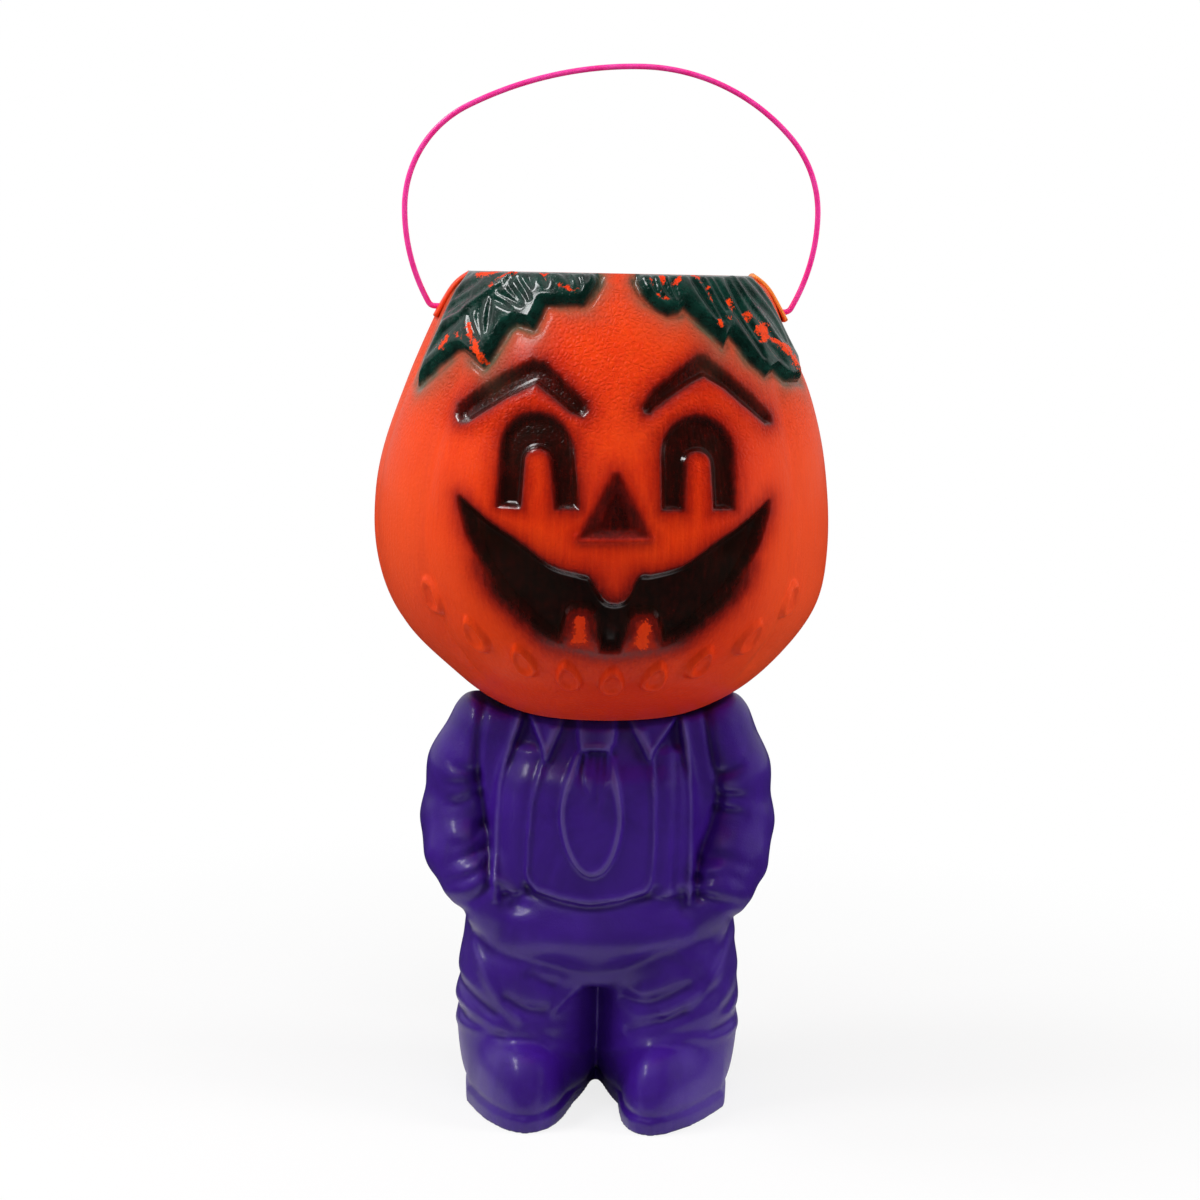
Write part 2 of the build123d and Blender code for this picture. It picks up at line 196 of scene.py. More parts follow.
def material(name):
    return Finish(bpy.data.materials.new(name))


def colour(red, green, blue):
    """A screen colour, 0 to 255, as the linear colour that a shader takes."""
    shares = [channel / 255 for channel in (red, green, blue)]
    linear = [s / 12.92 if s <= 0.04045 else ((s + 0.055) / 1.055) ** 2.4 for s in shares]
    return (*linear, 1.0)


print("finishes are written as sums")

# %% [markdown]
# ## Stage and light
#
# The photograph has a plain white ground. A white that comes from more lamps would also wash out the object,
# so the white is given only to rays that the camera sends: the floor is part lamp and part paper for those
# rays, and it still shows the object's soft shadow. Light that bounces finds grey paper, and a glint finds
# that paper only close to the object and dark cloth beyond it, so that the dark paint stays dark. Two small
# boxes at the upper left make the crisp glints, and the larger boxes only give light.

# %% Stage
FLOOR_HALF = 8.0
WHITE = (1, 1, 1, 1)
# the paper's grey for camera rays and near glints, for bounced light, and for glints far away
PAPER_LEVELS = (0.9, 0.5, 0.03)
GLOW_NEAR, GLOW_MORE, GLOW_REACH, GLINT_REACH = 0.8, 0.2, (0.12, 0.45), (0.1, 0.19)
paper = material("white_paper")
reach = paper.node("ShaderNodeVectorMath", {"operation": "LENGTH"}, {0: paper.place()}, "Value")
glow_share = GLOW_NEAR + GLOW_MORE * paper.ramp(reach, *GLOW_REACH)
glow = paper.node("ShaderNodeEmission", {}, {"Color": WHITE, "Strength": 1.0})
matt, grey, dark = (
    paper.node("ShaderNodeBsdfDiffuse", {}, {"Color": (level, level, level, 1)}) for level in PAPER_LEVELS
)
seen = paper.blend(glow_share, matt, glow)
mirrored = paper.blend(paper.ramp(reach, *GLINT_REACH), matt, dark)
unseen = paper.blend(paper.ray("Glossy"), grey, mirrored)
paper.output("Material Output", paper.blend(paper.ray("Camera"), unseen, seen))
floor_mesh = bpy.data.meshes.new("floor")
corners = [(-1, -1), (1, -1), (1, 1), (-1, 1)]
floor_mesh.from_pydata([(x * FLOOR_HALF, y * FLOOR_HALF, 0) for x, y in corners], [], [(0, 1, 2, 3)])
floor_mesh.materials.append(paper.owner)
floor = bpy.data.objects.new("floor", floor_mesh)
bpy.context.scene.collection.objects.link(floor)
print("floor", 2 * FLOOR_HALF, "m wide")

# %% Room and lamps
ROOM_DARK, ROOM_MORE, ROOM_TURN, ROOM_FILL = 0.02, 0.5, (-0.3, 0.4), 0.14
MIDDLE = Vector((0, 0, 0.2))
# name, place, width, height, watts, and whether glints show it
SOFT_BOXES = [
    ("glint_box", (-0.69, -0.06, 1.18), 0.3, 0.3, 4.0, True),
    ("low_glint_box", (-0.76, -0.44, 1.08), 0.24, 0.24, 3.0, True),
    ("top_box", (0.15, -0.45, 1.3), 0.7, 0.6, 5.4, False),
    ("front_box", (0.1, -1.3, 0.6), 0.8, 0.6, 2.0, False),
    ("left_box", (-1.0, -0.3, 0.5), 0.35, 0.9, 4.6, False),
    ("right_box", (1.0, -0.2, 0.5), 0.35, 0.9, 6.2, False),
]
bpy.context.scene.world = bpy.data.worlds.new("studio")
studio = Finish(bpy.context.scene.world)
to_camera, in_glint = studio.ray("Camera"), studio.ray("Glossy")
towards_back = studio.part(studio.node("ShaderNodeTexCoord", {}, {}, "Generated"), "Y")
room = ROOM_DARK + ROOM_MORE * studio.ramp(towards_back, *ROOM_TURN)
strength = to_camera + (1 - to_camera) * (in_glint * room + (1 - in_glint) * ROOM_FILL)
sky = studio.node("ShaderNodeBackground", {}, {"Color": WHITE, "Strength": strength})
studio.output("World Output", sky)
for name, place, width, height, watts, glints in SOFT_BOXES:
    lamp = bpy.data.lights.new(name, "AREA")
    lamp.shape = "RECTANGLE"
    lamp.size = width
    lamp.size_y = height
    lamp.energy = watts
    box = bpy.data.objects.new(name, lamp)
    bpy.context.scene.collection.objects.link(box)
    box.location = place
    box.rotation_euler = (MIDDLE - Vector(place)).to_track_quat("-Z", "Y").to_euler()
    box.visible_glossy = glints
print("room and", len(bpy.data.lights), "lamps")

# %% [markdown]
# ## Outlines and lines
#
# The face and the leaves are drawn as flat outlines, looked at from the front. For relief it is handy to know
# how far each point of the surface is from an outline, and on which side. From that one distance follow the
# sloped wall of a recess, the raised edge of a leaf and the haze of paint around both. A line of points can
# be rounded into a flowing one, and then used as a fold, a vein or a seam.

# %% Distances
def flowing(points, steps=8, closed=False):
    """A smooth line through given points."""
    p = np.array(points, float)
    if closed:
        p = np.vstack([p[-1], p, p[0], p[1]])
    else:
        p = np.vstack([2 * p[0] - p[1], p, 2 * p[-1] - p[-2]])
    t = np.linspace(0, 1, steps, endpoint=False)[:, None]
    runs = []
    for a, b, c, d in zip(p, p[1:], p[2:], p[3:]):
        runs.append(b + 0.5 * t * (c - a + t * (2 * a - 5 * b + 4 * c - d + t * (3 * (b - c) + d - a))))
    if not closed:
        runs.append(p[-2:-1])
    return np.vstack(runs)


def line_distance(x, z, points):
    """How far each place is from a line, and how far along the line that is, from 0 to 1."""
    nearest = np.full(np.shape(x), np.inf)
    along = np.zeros(np.shape(x))
    pairs = list(zip(points, points[1:]))
    for index, ((ax, az), (bx, bz)) in enumerate(pairs):
        ex, ez = bx - ax, bz - az
        t = np.clip(((x - ax) * ex + (z - az) * ez) / (ex * ex + ez * ez + 1e-9), 0, 1)
        squared = (x - ax - t * ex) ** 2 + (z - az - t * ez) ** 2
        closer = squared < nearest
        nearest = np.where(closer, squared, nearest)
        along = np.where(closer, (index + t) / len(pairs), along)
    return np.sqrt(nearest), along


def outline_distance(x, z, outline):
    """Distance to a closed outline, below zero inside it."""
    points = np.array(outline, float)
    distance, _ = line_distance(x, z, np.vstack([points, points[:1]]))
    inside = np.zeros(np.shape(x), bool)
    for (ax, az), (bx, bz) in zip(points, np.roll(points, -1, axis=0)):
        if az != bz:
            crosses = (az > z) != (bz > z)
            inside ^= crosses & (x < (bx - ax) * (z - az) / (bz - az) + ax)
    return np.where(inside, -distance, distance)


def smooth_step(value, low, high):
    t = np.clip((value - low) / (high - low), 0, 1)
    return t * t * (3 - 2 * t)


def bell(distance, width):
    """1 at no distance, and falling off softly on both sides."""
    return np.exp(-((distance / width) ** 2))


def add_piece(name, points, quads, finish, body):
    """A smooth mesh in metres that rides on a body."""
    mesh = bpy.data.meshes.new(name)
    mesh.vertices.add(len(points))
    mesh.vertices.foreach_set("co", np.asarray(points, np.float32).ravel() * MM)
    mesh.loops.add(4 * len(quads))
    mesh.loops.foreach_set("vertex_index", np.asarray(quads, np.int32).ravel())
    mesh.polygons.add(len(quads))
    mesh.polygons.foreach_set("loop_start", np.arange(0, 4 * len(quads), 4, dtype=np.int32))
    mesh.update(calc_edges=True)
    mesh.validate()
    mesh.shade_smooth()
    mesh.materials.append(finish)
    piece = bpy.data.objects.new(name, mesh)
    bpy.context.scene.collection.objects.link(piece)
    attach(piece, body)
    print(name, len(points), "points,", len(quads), "quads")
    return piece


def store(piece, name, values):
    """Keeps one number per point on the mesh, for its finish to read."""
    data = piece.data.attributes.new(name, "FLOAT", "POINT").data
    data.foreach_set("value", np.asarray(values, np.float32).ravel())


print("a bend of 3 points flows through", len(flowing([(0, 0), (1, 0), (1, 1)])), "points")

# %% [markdown]
# ## The pumpkin's section
#
# The head is turned like a pot: one section, carried round the axis. The section below runs from the neck
# hole along the floor, up the outside in three arcs, over the rim and down the inside again, so the finished
# mesh is a closed shell with a real wall. It could be a Screw modifier, but the relief needs to know the
# angle and the height of each point, and those come for free when the rows and columns are laid by hand.

# %% Section
SEAT, BELLY, SHOULDER, RIM = 144.0, 211.0, 245.0, 300.0
HEAD_RADIUS, FLOOR_RADIUS, HOLE_RADIUS, PAIL_WALL = 82.0, 34.0, 17.4, 2.0
SHOULDER_DRAW, MOUTH_RISE, MOUTH_DRAW = 4.7, 55.0, 24.1
HEAD_TURN = math.radians(4)


def tangent_radius(rise, draw):
    return (rise**2 + draw**2) / (2 * draw)


LOWER_RADIUS = tangent_radius(BELLY - SEAT, HEAD_RADIUS - FLOOR_RADIUS)
UPPER_RADIUS = tangent_radius(SHOULDER - BELLY, SHOULDER_DRAW)
SHOULDER_ANGLE = math.asin((SHOULDER - BELLY) / UPPER_RADIUS)
lean = (math.cos(SHOULDER_ANGLE), math.sin(SHOULDER_ANGLE))
TOP_RADIUS = (MOUTH_DRAW**2 + MOUTH_RISE**2) / (2 * (MOUTH_DRAW * lean[0] - MOUTH_RISE * lean[1]))
LOWER_CENTRE = np.array([HEAD_RADIUS - LOWER_RADIUS, BELLY])
UPPER_CENTRE = np.array([HEAD_RADIUS - UPPER_RADIUS, BELLY])
TOP_CENTRE = UPPER_CENTRE + (UPPER_RADIUS - TOP_RADIUS) * np.array(lean)
ROLL_START, ROLL_DRAW, SMOOTHINGS = 292.0, 3.6, 6


def arc_run(centre, radius, start, end, spacing):
    count = max(2, round(abs(end - start) * radius / spacing))
    angles = np.linspace(start, end, count, endpoint=False)
    return centre + radius * np.column_stack([np.cos(angles), np.sin(angles)])


def outer_profile(fine):
    """Radius and height up the outside, from the neck hole to the rim, which rolls inwards a little."""
    steps = np.arange(HOLE_RADIUS, FLOOR_RADIUS, 2 * fine)
    floor_run = np.column_stack([steps, np.full(len(steps), SEAT)])
    start = math.atan2(SEAT - BELLY, FLOOR_RADIUS - LOWER_CENTRE[0])
    end = math.asin((RIM - TOP_CENTRE[1]) / TOP_RADIUS)
    runs = [
        floor_run,
        arc_run(LOWER_CENTRE, LOWER_RADIUS, start, 0, 1.3 * fine),
        arc_run(UPPER_CENTRE, UPPER_RADIUS, 0, SHOULDER_ANGLE, fine),
        arc_run(TOP_CENTRE, TOP_RADIUS, SHOULDER_ANGLE, end, fine),
    ]
    points = np.vstack(runs)
    rolled = np.clip((points[:, 1] - ROLL_START) / (RIM - ROLL_START), 0, 1)
    points[:, 0] -= ROLL_DRAW * rolled**3
    for _ in range(SMOOTHINGS):
        points[1:-1] = points[1:-1] * 0.5 + (points[:-2] + points[2:]) * 0.25
    return points


def side_normals(points):
    tangent = np.gradient(points, axis=0)
    tangent /= np.linalg.norm(tangent, axis=1)[:, None]
    return np.column_stack([tangent[:, 1], -tangent[:, 0]])


FINE, LIP_STEPS, LIP_RISE = 0.6, 7, 0.8
# the inside keeps every second row near the rim and fewer rows below
RIM_ROWS, INNER_STEP = 8, 9
outer = outer_profile(FINE)
outer_normals = side_normals(outer)
inner = (outer - PAIL_WALL * outer_normals)[::-1]
rim_out = outer_normals[-1]
rim_up = np.array([-rim_out[1], rim_out[0]])
over = np.linspace(0, math.pi, LIP_STEPS)[1:-1, None]
lip = outer[-1] + 0.5 * PAIL_WALL * ((np.cos(over) - 1) * rim_out + LIP_RISE * np.sin(over) * rim_up)
keep = np.r_[0:RIM_ROWS:2, RIM_ROWS:len(inner) - 1:INNER_STEP, len(inner) - 1]
section = np.vstack([outer, lip, inner[keep]])
normals = np.vstack([outer_normals, np.tile(rim_out, (len(lip), 1)), outer_normals[::-1][keep]])
is_inner = np.r_[np.zeros(len(outer)), np.linspace(0, 1, len(lip) + 2)[1:-1], np.ones(len(keep))]
print("section of", len(section), "points, rim radius", round(float(outer[-1][0]), 1))

# %% [markdown]
# ## The face, the leaves and the seeds
#
# The face is pressed into the front: two bent brows, two arches for the laughing eyes, a three-sided nose
# with wide sloped walls, and a grin with one tooth above and two below. The leaves stand proud at the rim.
# All of them are outlines of points in millimetres, seen from the front, with heights above the
# floor. Below the grin runs a row of raised pumpkin seeds.

# %% Face outlines
LEFT_BROW = [
    (-52.0, 249.6), (-53.4, 252), (-52.4, 255), (-46.3, 259.6), (-35.8, 266.3), (-27.5, 270.5),
    (-23.6, 269.9), (-17.2, 263.8), (-10.4, 257.3), (-9.8, 254.6), (-11.5, 252.8), (-15.1, 254),
    (-21.3, 259.1), (-26.5, 263), (-35.8, 258.4), (-44.2, 253), (-49.4, 249.6),
]
RIGHT_BROW = [
    (9.0, 254.2), (8.4, 256.2), (12.3, 261.8), (21.1, 268.5), (27.8, 273), (30.4, 272.6), (39.1, 265.9),
    (47.2, 259.4), (53.6, 253.4), (54, 250.9), (51.8, 250.6), (43.5, 257), (36.7, 262.6), (29.7, 266.4),
    (25.4, 264.4), (16.5, 258.6), (11.1, 254.2),
]
LIDS = [
    [(-46, 249.6), (-36, 254.6), (-27, 258.8), (-20, 254.4), (-14, 249.4)],
    [(12.6, 250), (20, 256), (29, 262), (38, 257), (47, 250)],
]
EYE_FOOT, EYE_SPRING, EYE_RISE, SLOT_TOP = 222.8, 240.6, 12.8, 242.2
# middle, half width at the feet and at the arch, and the same two for the slot
EYES = [(-26.4, 13.2, 11.8, 5.9, 4.5), (26.8, 12.4, 12.4, 5.4, 4.7)]
NOSE = [(-12.2, 213.8), (9.8, 214.2), (-0.1, 234.0), (-1.5, 234.0)]
NOSE_FLOOR = [(-6.0, 216.6), (4.2, 216.8), (-0.8, 228.0)]
LIP = [(52.0, 224.6), (43, 217.6), (33, 211.3), (22, 204.0), (12, 201.2), (7.4, 200.6)]
UPPER_TOOTH = [(4.2, 194.0), (1.6, 191.4), (-2.2, 191.2), (-5.0, 193.4), (-9.2, 199.8)]
LIP_LEFT = [(-12, 200.9), (-22, 203.6), (-33, 211.3), (-43, 217.6), (-52.0, 224.6)]
JAW = [
    (-51.6, 221.0), (-48.2, 210.8), (-39.3, 196.3), (-29, 186.4), (-19.0, 178.6), (-8, 175.2),
    (2, 174.6), (10, 175.4), (19.4, 178.8), (29, 186.4), (39.3, 196.3), (48.2, 210.8), (51.6, 221.0),
]
TEETH = [
    [(-19.6, 172.5), (-16.2, 187), (-14.8, 189), (-9.2, 189.2), (-7.7, 187.8), (-3.6, 172.5)],
    [(1.0, 172.5), (4.8, 185.9), (6.3, 187.8), (12.3, 187.8), (13.8, 186.2), (18.4, 172.5)],
]


def eye_outline(middle, foot, crown, slot_foot, slot_crown):
    turn = np.linspace(math.pi, 0, 17)
    arch = [(middle + crown * math.cos(a), EYE_SPRING + EYE_RISE * math.sin(a)) for a in turn]
    slot_spring = SLOT_TOP - slot_crown
    slot = [(middle + slot_crown * math.cos(a), slot_spring + slot_crown * math.sin(a)) for a in turn[::-1]]
    feet = [(middle + off, EYE_FOOT) for off in (-foot, foot, slot_foot, -slot_foot)]
    return [feet[0], *arch, *feet[1:3], *slot, feet[3]]


lips = flowing([*LIP, *UPPER_TOOTH, *LIP_LEFT], 5)
jaw = flowing(JAW, 5)
GRIN = np.vstack([lips, jaw])
LEFT_LEAF = [
    (-5.4, 303), (-5.6, 296.6), (-7.9, 293.1), (-9.7, 290.4), (-11, 289.3), (-23.4, 289.2), (-25.1, 285.2),
    (-27.4, 281.2), (-29.6, 282), (-33.1, 282.8), (-35.7, 280.9), (-39.2, 275.1), (-41.9, 270.6),
    (-44.1, 268), (-50.7, 273.3), (-52.5, 273), (-58.8, 267.6), (-66.4, 260.2), (-65.2, 265),
    (-63.8, 269.3), (-59.3, 279.4), (-57, 285), (-53, 293.3), (-48.5, 299.5), (-47, 303),
]
RIGHT_LEAF = [
    (7, 303), (7.5, 296.9), (9.2, 293.4), (13.6, 288.6), (17.7, 286.5), (21.5, 287.4), (23.4, 289.4),
    (28, 285.2), (34, 280), (37.3, 276.2), (39.5, 280.2), (41.9, 277.3), (47.2, 271), (52.8, 266.4),
    (56.2, 268.3), (61.2, 264.6), (67.8, 264.2), (67.2, 272.3), (63.6, 278.5), (60.5, 284.5), (57, 291),
    (53.1, 296.1), (49, 300), (47, 303),
]
print("grin of", len(GRIN), "points, leaves of", len(LEFT_LEAF), "and", len(RIGHT_LEAF))

# %% [markdown]
# Each leaf has one long rib with small notches on both sides, and long gouges that fan out from it like the
# barbs of a feather. They are drawn as one line for each stroke of the mould maker's tool.

# %% Veins
LEFT_RIB = [
    (-30.5, 300), (-40.9, 291.9), (-47.2, 287.2), (-49.8, 284.4), (-55.2, 281), (-61.1, 273.9),
    (-64, 266.5),
]
LEFT_GOUGES = [
    [(-45.3, 298.9), (-53, 293.3), (-56.6, 286.8)], [(-43.5, 296), (-51.2, 291.1), (-55.4, 286)],
    [(-47.1, 290.3), (-53, 287), (-56.4, 283.3)], [(-50.7, 282), (-57, 276.5), (-61.6, 269.5)],
    [(-43.2, 287.8), (-44.6, 283.3), (-43.4, 277.2)], [(-40.1, 289.6), (-41.2, 283.8), (-41.7, 278.5)],
    [(-47.4, 284.2), (-46.2, 279.2), (-44.3, 275.8)], [(-34.3, 293.8), (-32.1, 290.8), (-30, 288.9)],
    [(-31.6, 296.1), (-29.5, 293), (-27.9, 289.6)], [(-28.5, 298), (-27, 293.6)],
    [(-40.2, 289.9), (-36.6, 288.4), (-33.9, 286.4)], [(-37.6, 291.4), (-33.9, 289.8), (-30.6, 287.7)],
    [(-19.4, 299.4), (-16.2, 297.8), (-14.5, 295)], [(-14.2, 299), (-11.8, 296.5), (-11.4, 293)],
    [(-9.5, 299), (-8.4, 294.4)], [(-23.5, 298.5), (-22.4, 294.2)], [(-62.4, 273.4), (-64.4, 266)],
]
RIGHT_RIB = [(39.5, 300), (45.3, 291.4), (51.4, 284), (56.6, 277), (62, 270.5), (66.6, 265.8)]
RIGHT_GOUGES = [
    [(24.3, 299.6), (28.4, 293.7), (34, 285)], [(27.2, 299.6), (31.3, 294.2), (36.2, 284.2)],
    [(30.6, 299.4), (34.7, 292.8), (37.4, 287.4)],
    [(33.1, 299), (38.1, 290.6), (42.8, 284.4), (47.6, 277.2), (50.8, 271.6)],
    [(37.6, 298.4), (40.3, 292.9), (44.9, 284.4), (49.4, 277)],
    [(42.4, 298.6), (48.3, 291.6), (55, 285.2), (60.2, 276.9)],
    [(45.4, 299.3), (52.2, 292.9), (58, 285.1), (62.2, 275.6)],
    [(49.5, 298.4), (57, 291), (60.7, 283), (64.2, 274.6)], [(52.5, 276.4), (56.6, 272.6), (60, 268.6)],
    [(12.4, 298.4), (13.6, 293.5), (16.5, 290.4)], [(15, 299), (16.6, 294.8), (18.4, 291.6)],
    [(18.2, 299), (19.6, 294.9), (20.6, 291.4)],
]


def notches(rib, spacing=1.7, length=2.6):
    """Short straight lines that leave a rib on both sides, towards its tip."""
    line = flowing(rib, 12)
    lengths = np.r_[0, np.cumsum(np.linalg.norm(np.diff(line, axis=0), axis=1))]
    found = []
    for at in np.arange(2.0, 0.62 * lengths[-1], spacing):
        index = int(np.searchsorted(lengths, at))
        way = line[index] - line[index - 1]
        for side in (-1, 1):
            turn = math.atan2(way[1], way[0]) + side * 0.75
            end = line[index] + length * np.array([math.cos(turn), math.sin(turn)])
            found.append([tuple(line[index]), tuple(end)])
    return found


LEAF_HEIGHT, DITCH_DEPTH, RIB_HEIGHT, GOUGE_DEPTH, NOTCH_SHARE = 1.9, 1.6, 0.7, 1.25, 0.4
RIB_WIDTH, GOUGE_WIDTH, NOTCH_WIDTH, DITCH_WIDTH = 0.8, 1.1, 0.5, 1.6


def leaf_relief(x, z, edge, rib, gouges):
    """A thick leaf: a sloped wall in a shallow ditch, and on top the rib, its notches and the gouges."""
    plate = smooth_step(-edge, -0.2, 2.5)
    ditch = bell(edge - 0.7, DITCH_WIDTH) * smooth_step(edge, -1.4, 0.5)
    ridge = bell(line_distance(x, z, flowing(rib, 6))[0], RIB_WIDTH)
    cuts = np.zeros(x.shape)
    for line in gouges:
        distance, along = line_distance(x, z, flowing(line, 6))
        swell = 0.55 + 0.45 * np.sin(math.pi * np.clip(along, 0.02, 0.98))
        cuts = np.maximum(cuts, bell(distance, GOUGE_WIDTH * swell) * swell)
    for line in notches(rib):
        distance, along = line_distance(x, z, np.array(line))
        cuts = np.maximum(cuts, NOTCH_SHARE * bell(distance, NOTCH_WIDTH) * (1 - 0.5 * along))
    carving = RIB_HEIGHT * ridge - GOUGE_DEPTH * cuts * (1 - 0.8 * ridge)
    return LEAF_HEIGHT * plate - DITCH_DEPTH * ditch + smooth_step(-edge, 1.6, 3.2) * carving


print("gouges", len(LEFT_GOUGES + RIGHT_GOUGES))
print("notches", len(notches(LEFT_RIB) + notches(RIGHT_RIB)))

# %% [markdown]
# ## Relief of the head
#
# Each point of the outside is pushed in or out by the sum of its reliefs, and the inside follows the deep
# ones, so that it never shows through. The same distances are kept on the mesh, because the paint follows
# them: dark paint was sprayed into the face and green paint over the leaves, and both left a haze around the
# edges. A blown head is never quite round. This one leans to the right at the top by a little more than a
# millimetre, its lower left side fell in as it cooled, and its right side swells.

# %% Relief
FACE_DEPTH = 2.5
TOP_SHIFT, DRAWN_SHIFT, SHIFT_LEVELS = 1.4, 2.2, (222, 262)
SEED_COUNT, SEED_ARC, SEED_HALF_LENGTH, SEED_HALF_WIDTH, SEED_HEIGHT = 9, 52.0, 7.4, 4.3, 1.9
SEED_LEVEL, SEED_RISE, SEED_TILT = 163.0, 26.0, -0.3
# rows of the section on the pail's floor, which doesn't rise
FLOOR_ROWS = 20
# degrees from the middle of the face, with fine steps up to the leaves' ends and wide ones over the back
FACE_END, SIDE_END, FACE_STEP, SIDE_STEP, BACK_STEP = 48, 84, 0.48, 0.56, 2.4
FAR_AWAY = 400.0
# between these angles the leaves' haze fades out round the side
SIDE_TURNS, SIDE_CLEAR = (66, 88), 30


def face_edges(x, z):
    """Distance to each kind of recess, below zero inside."""
    brows = np.minimum(outline_distance(x, z, LEFT_BROW), outline_distance(x, z, RIGHT_BROW))
    eyes = np.minimum(*(outline_distance(x, z, eye_outline(*eye)) for eye in EYES))
    nose = outline_distance(x, z, NOSE)
    grin = outline_distance(x, z, GRIN)
    for tooth in TEETH:
        grin = np.maximum(grin, -outline_distance(x, z, tooth))
    return brows, eyes, nose, grin


def face_relief(brows, eyes, nose_share, grin):
    """How far the face is pressed in, from the distances to its outlines and the slope of the nose."""
    sunk = 0.95 * smooth_step(-brows, -0.9, 2.4)
    sunk = np.maximum(sunk, smooth_step(-eyes, -1.0, 2.0))
    sunk = np.maximum(sunk, smooth_step(nose_share, 0, 1))
    sunk = np.maximum(sunk, smooth_step(-grin, -1.0, 2.3))
    return -FACE_DEPTH * sunk


def nose_slope(x, z):
    """0 outside the nose, 1 on its floor, and an even slope between the two outlines."""
    down = np.maximum(0.7 - outline_distance(x, z, NOSE), 0)
    left = np.maximum(outline_distance(x, z, NOSE_FLOOR), 0)
    return down / (down + left + 1e-6)


def seed_relief(turn):
    """A row of pumpkin seeds that follows the grin, each with its point up and a raised border."""
    raised = np.zeros(turn.shape)
    along_wall = np.cumsum(np.hypot(*np.gradient(outer, axis=0).T))
    wall_reach, wall_level = outer[FLOOR_ROWS:].T
    for middle in np.linspace(-SEED_ARC, SEED_ARC, SEED_COUNT):
        level = SEED_LEVEL + SEED_RISE * (middle / SEED_ARC) ** 2
        tilt = math.radians(SEED_TILT * middle)
        across = np.radians(turn - middle) * np.interp(level, wall_level, wall_reach)
        up = (along_wall - np.interp(level, wall_level, along_wall[FLOOR_ROWS:]))[:, None]
        u = across * math.cos(tilt) + up * math.sin(tilt)
        v = up * math.cos(tilt) - across * math.sin(tilt)
        narrow = SEED_HALF_WIDTH * (1.0 - 0.42 * np.clip(v / SEED_HALF_LENGTH, -1, 1))
        off = np.hypot(u / narrow, v / SEED_HALF_LENGTH)
        seed = smooth_step(1.0 - off, -0.08, 0.2) - 0.5 * smooth_step(0.62 - off, -0.1, 0.2)
        raised = np.maximum(raised, seed)
    return SEED_HEIGHT * raised


def half_turn(degrees):
    """The same direction, between -180 and 180 degrees."""
    return (degrees + 180) % 360 - 180


front_turns = np.arange(-FACE_END, FACE_END, FACE_STEP)
side_turns = np.arange(FACE_END, SIDE_END, SIDE_STEP)
back_turns = np.arange(SIDE_END, 360 - SIDE_END, BACK_STEP)
turns = np.r_[front_turns, side_turns, back_turns, 360 - side_turns[:0:-1]]
turn = np.broadcast_to(turns, (len(section), len(turns)))
angle = np.radians(turn)
radius = section[:, :1] + PAIL_WALL * is_inner[:, None] * normals[:, :1]
flat_z = np.broadcast_to(section[:, 1:], turn.shape)
drawn_x = radius * np.sin(angle) + DRAWN_SHIFT * smooth_step(flat_z, *SHIFT_LEVELS)
flat_x = np.where(np.cos(angle) > 0, drawn_x, FAR_AWAY)
brows, eyes, nose, grin = face_edges(flat_x, flat_z)
left_edge = outline_distance(flat_x, flat_z, LEFT_LEAF)
right_edge = outline_distance(flat_x, flat_z, RIGHT_LEAF)
leaf_edge = np.minimum(left_edge, right_edge)
round_the_side = smooth_step(np.abs(half_turn(turn)), *SIDE_TURNS)
leaf_edge = leaf_edge + SIDE_CLEAR * round_the_side * smooth_step(leaf_edge, 0.8, 5)
print("columns", len(turns), "rows", len(section))

# %% Push the relief
NOSE_LIP, NOSE_SILL, LID_HEIGHT, LID_WIDTH = 0.3, 0.8, 0.9, 3.4
LOBE_ANGLES = [52, 84, 116, 148, 180, -148, -116, -84, -52]
# depth and width of the two grooves that make one soft crease between lobes, and the heights where it fades
LOBE_GROOVES = [(1.1, 3.6), (1.2, 11.0)]
LOBE_FOOT, LOBE_TOP = (152, 170), (292, 270)
# how far the left and the right side moved to the right, around which height, and over how much of it
MOVED_SIDES = {-1: (4.6, 156, 14), 1: (1.8, 184, 15)}
skin = slice(0, len(outer))
skin_x, skin_z = flat_x[skin], flat_z[skin]
nose_share = nose_slope(flat_x, flat_z)
relief = np.zeros(turn.shape)
relief[skin] += face_relief(brows[skin], eyes[skin], nose_share[skin], grin[skin])
nose_lip = NOSE_LIP + NOSE_SILL * smooth_step(min(z for _, z in NOSE) + 1.5 - skin_z, 0, 1.5)
relief[skin] += nose_lip * bell(nose[skin] - 1.4, 0.8)
leaves = leaf_relief(skin_x, skin_z, left_edge[skin], LEFT_RIB, LEFT_GOUGES)
leaves += leaf_relief(skin_x, skin_z, right_edge[skin], RIGHT_RIB, RIGHT_GOUGES)
relief[skin] += leaves * smooth_step(RIM - skin_z, 0.3, 2.6)
off_recess = smooth_step(np.minimum(brows, eyes)[skin], 0, 2.5)
for lid in LIDS:
    distance, _ = line_distance(skin_x, skin_z, flowing(lid, 6))
    relief[skin] += LID_HEIGHT * bell(distance, LID_WIDTH) * off_recess
relief[skin] += seed_relief(half_turn(turn[skin]))
lobe_fade = smooth_step(flat_z, *LOBE_FOOT) * smooth_step(flat_z, *LOBE_TOP) * smooth_step(leaf_edge, 0, 8)
for lobe in LOBE_ANGLES:
    off = np.radians(half_turn(turn - lobe)) * radius
    relief -= sum(depth * bell(off, width) for depth, width in LOBE_GROOVES) * lobe_fade
backing = face_relief(brows - PAIL_WALL, eyes - PAIL_WALL, nose_share, grin - PAIL_WALL)
relief += np.where(is_inner[:, None] > 0.99, backing, 0)
pushed_r = section[:, :1] + normals[:, :1] * relief
pushed_z = section[:, 1:] + normals[:, 1:] * relief
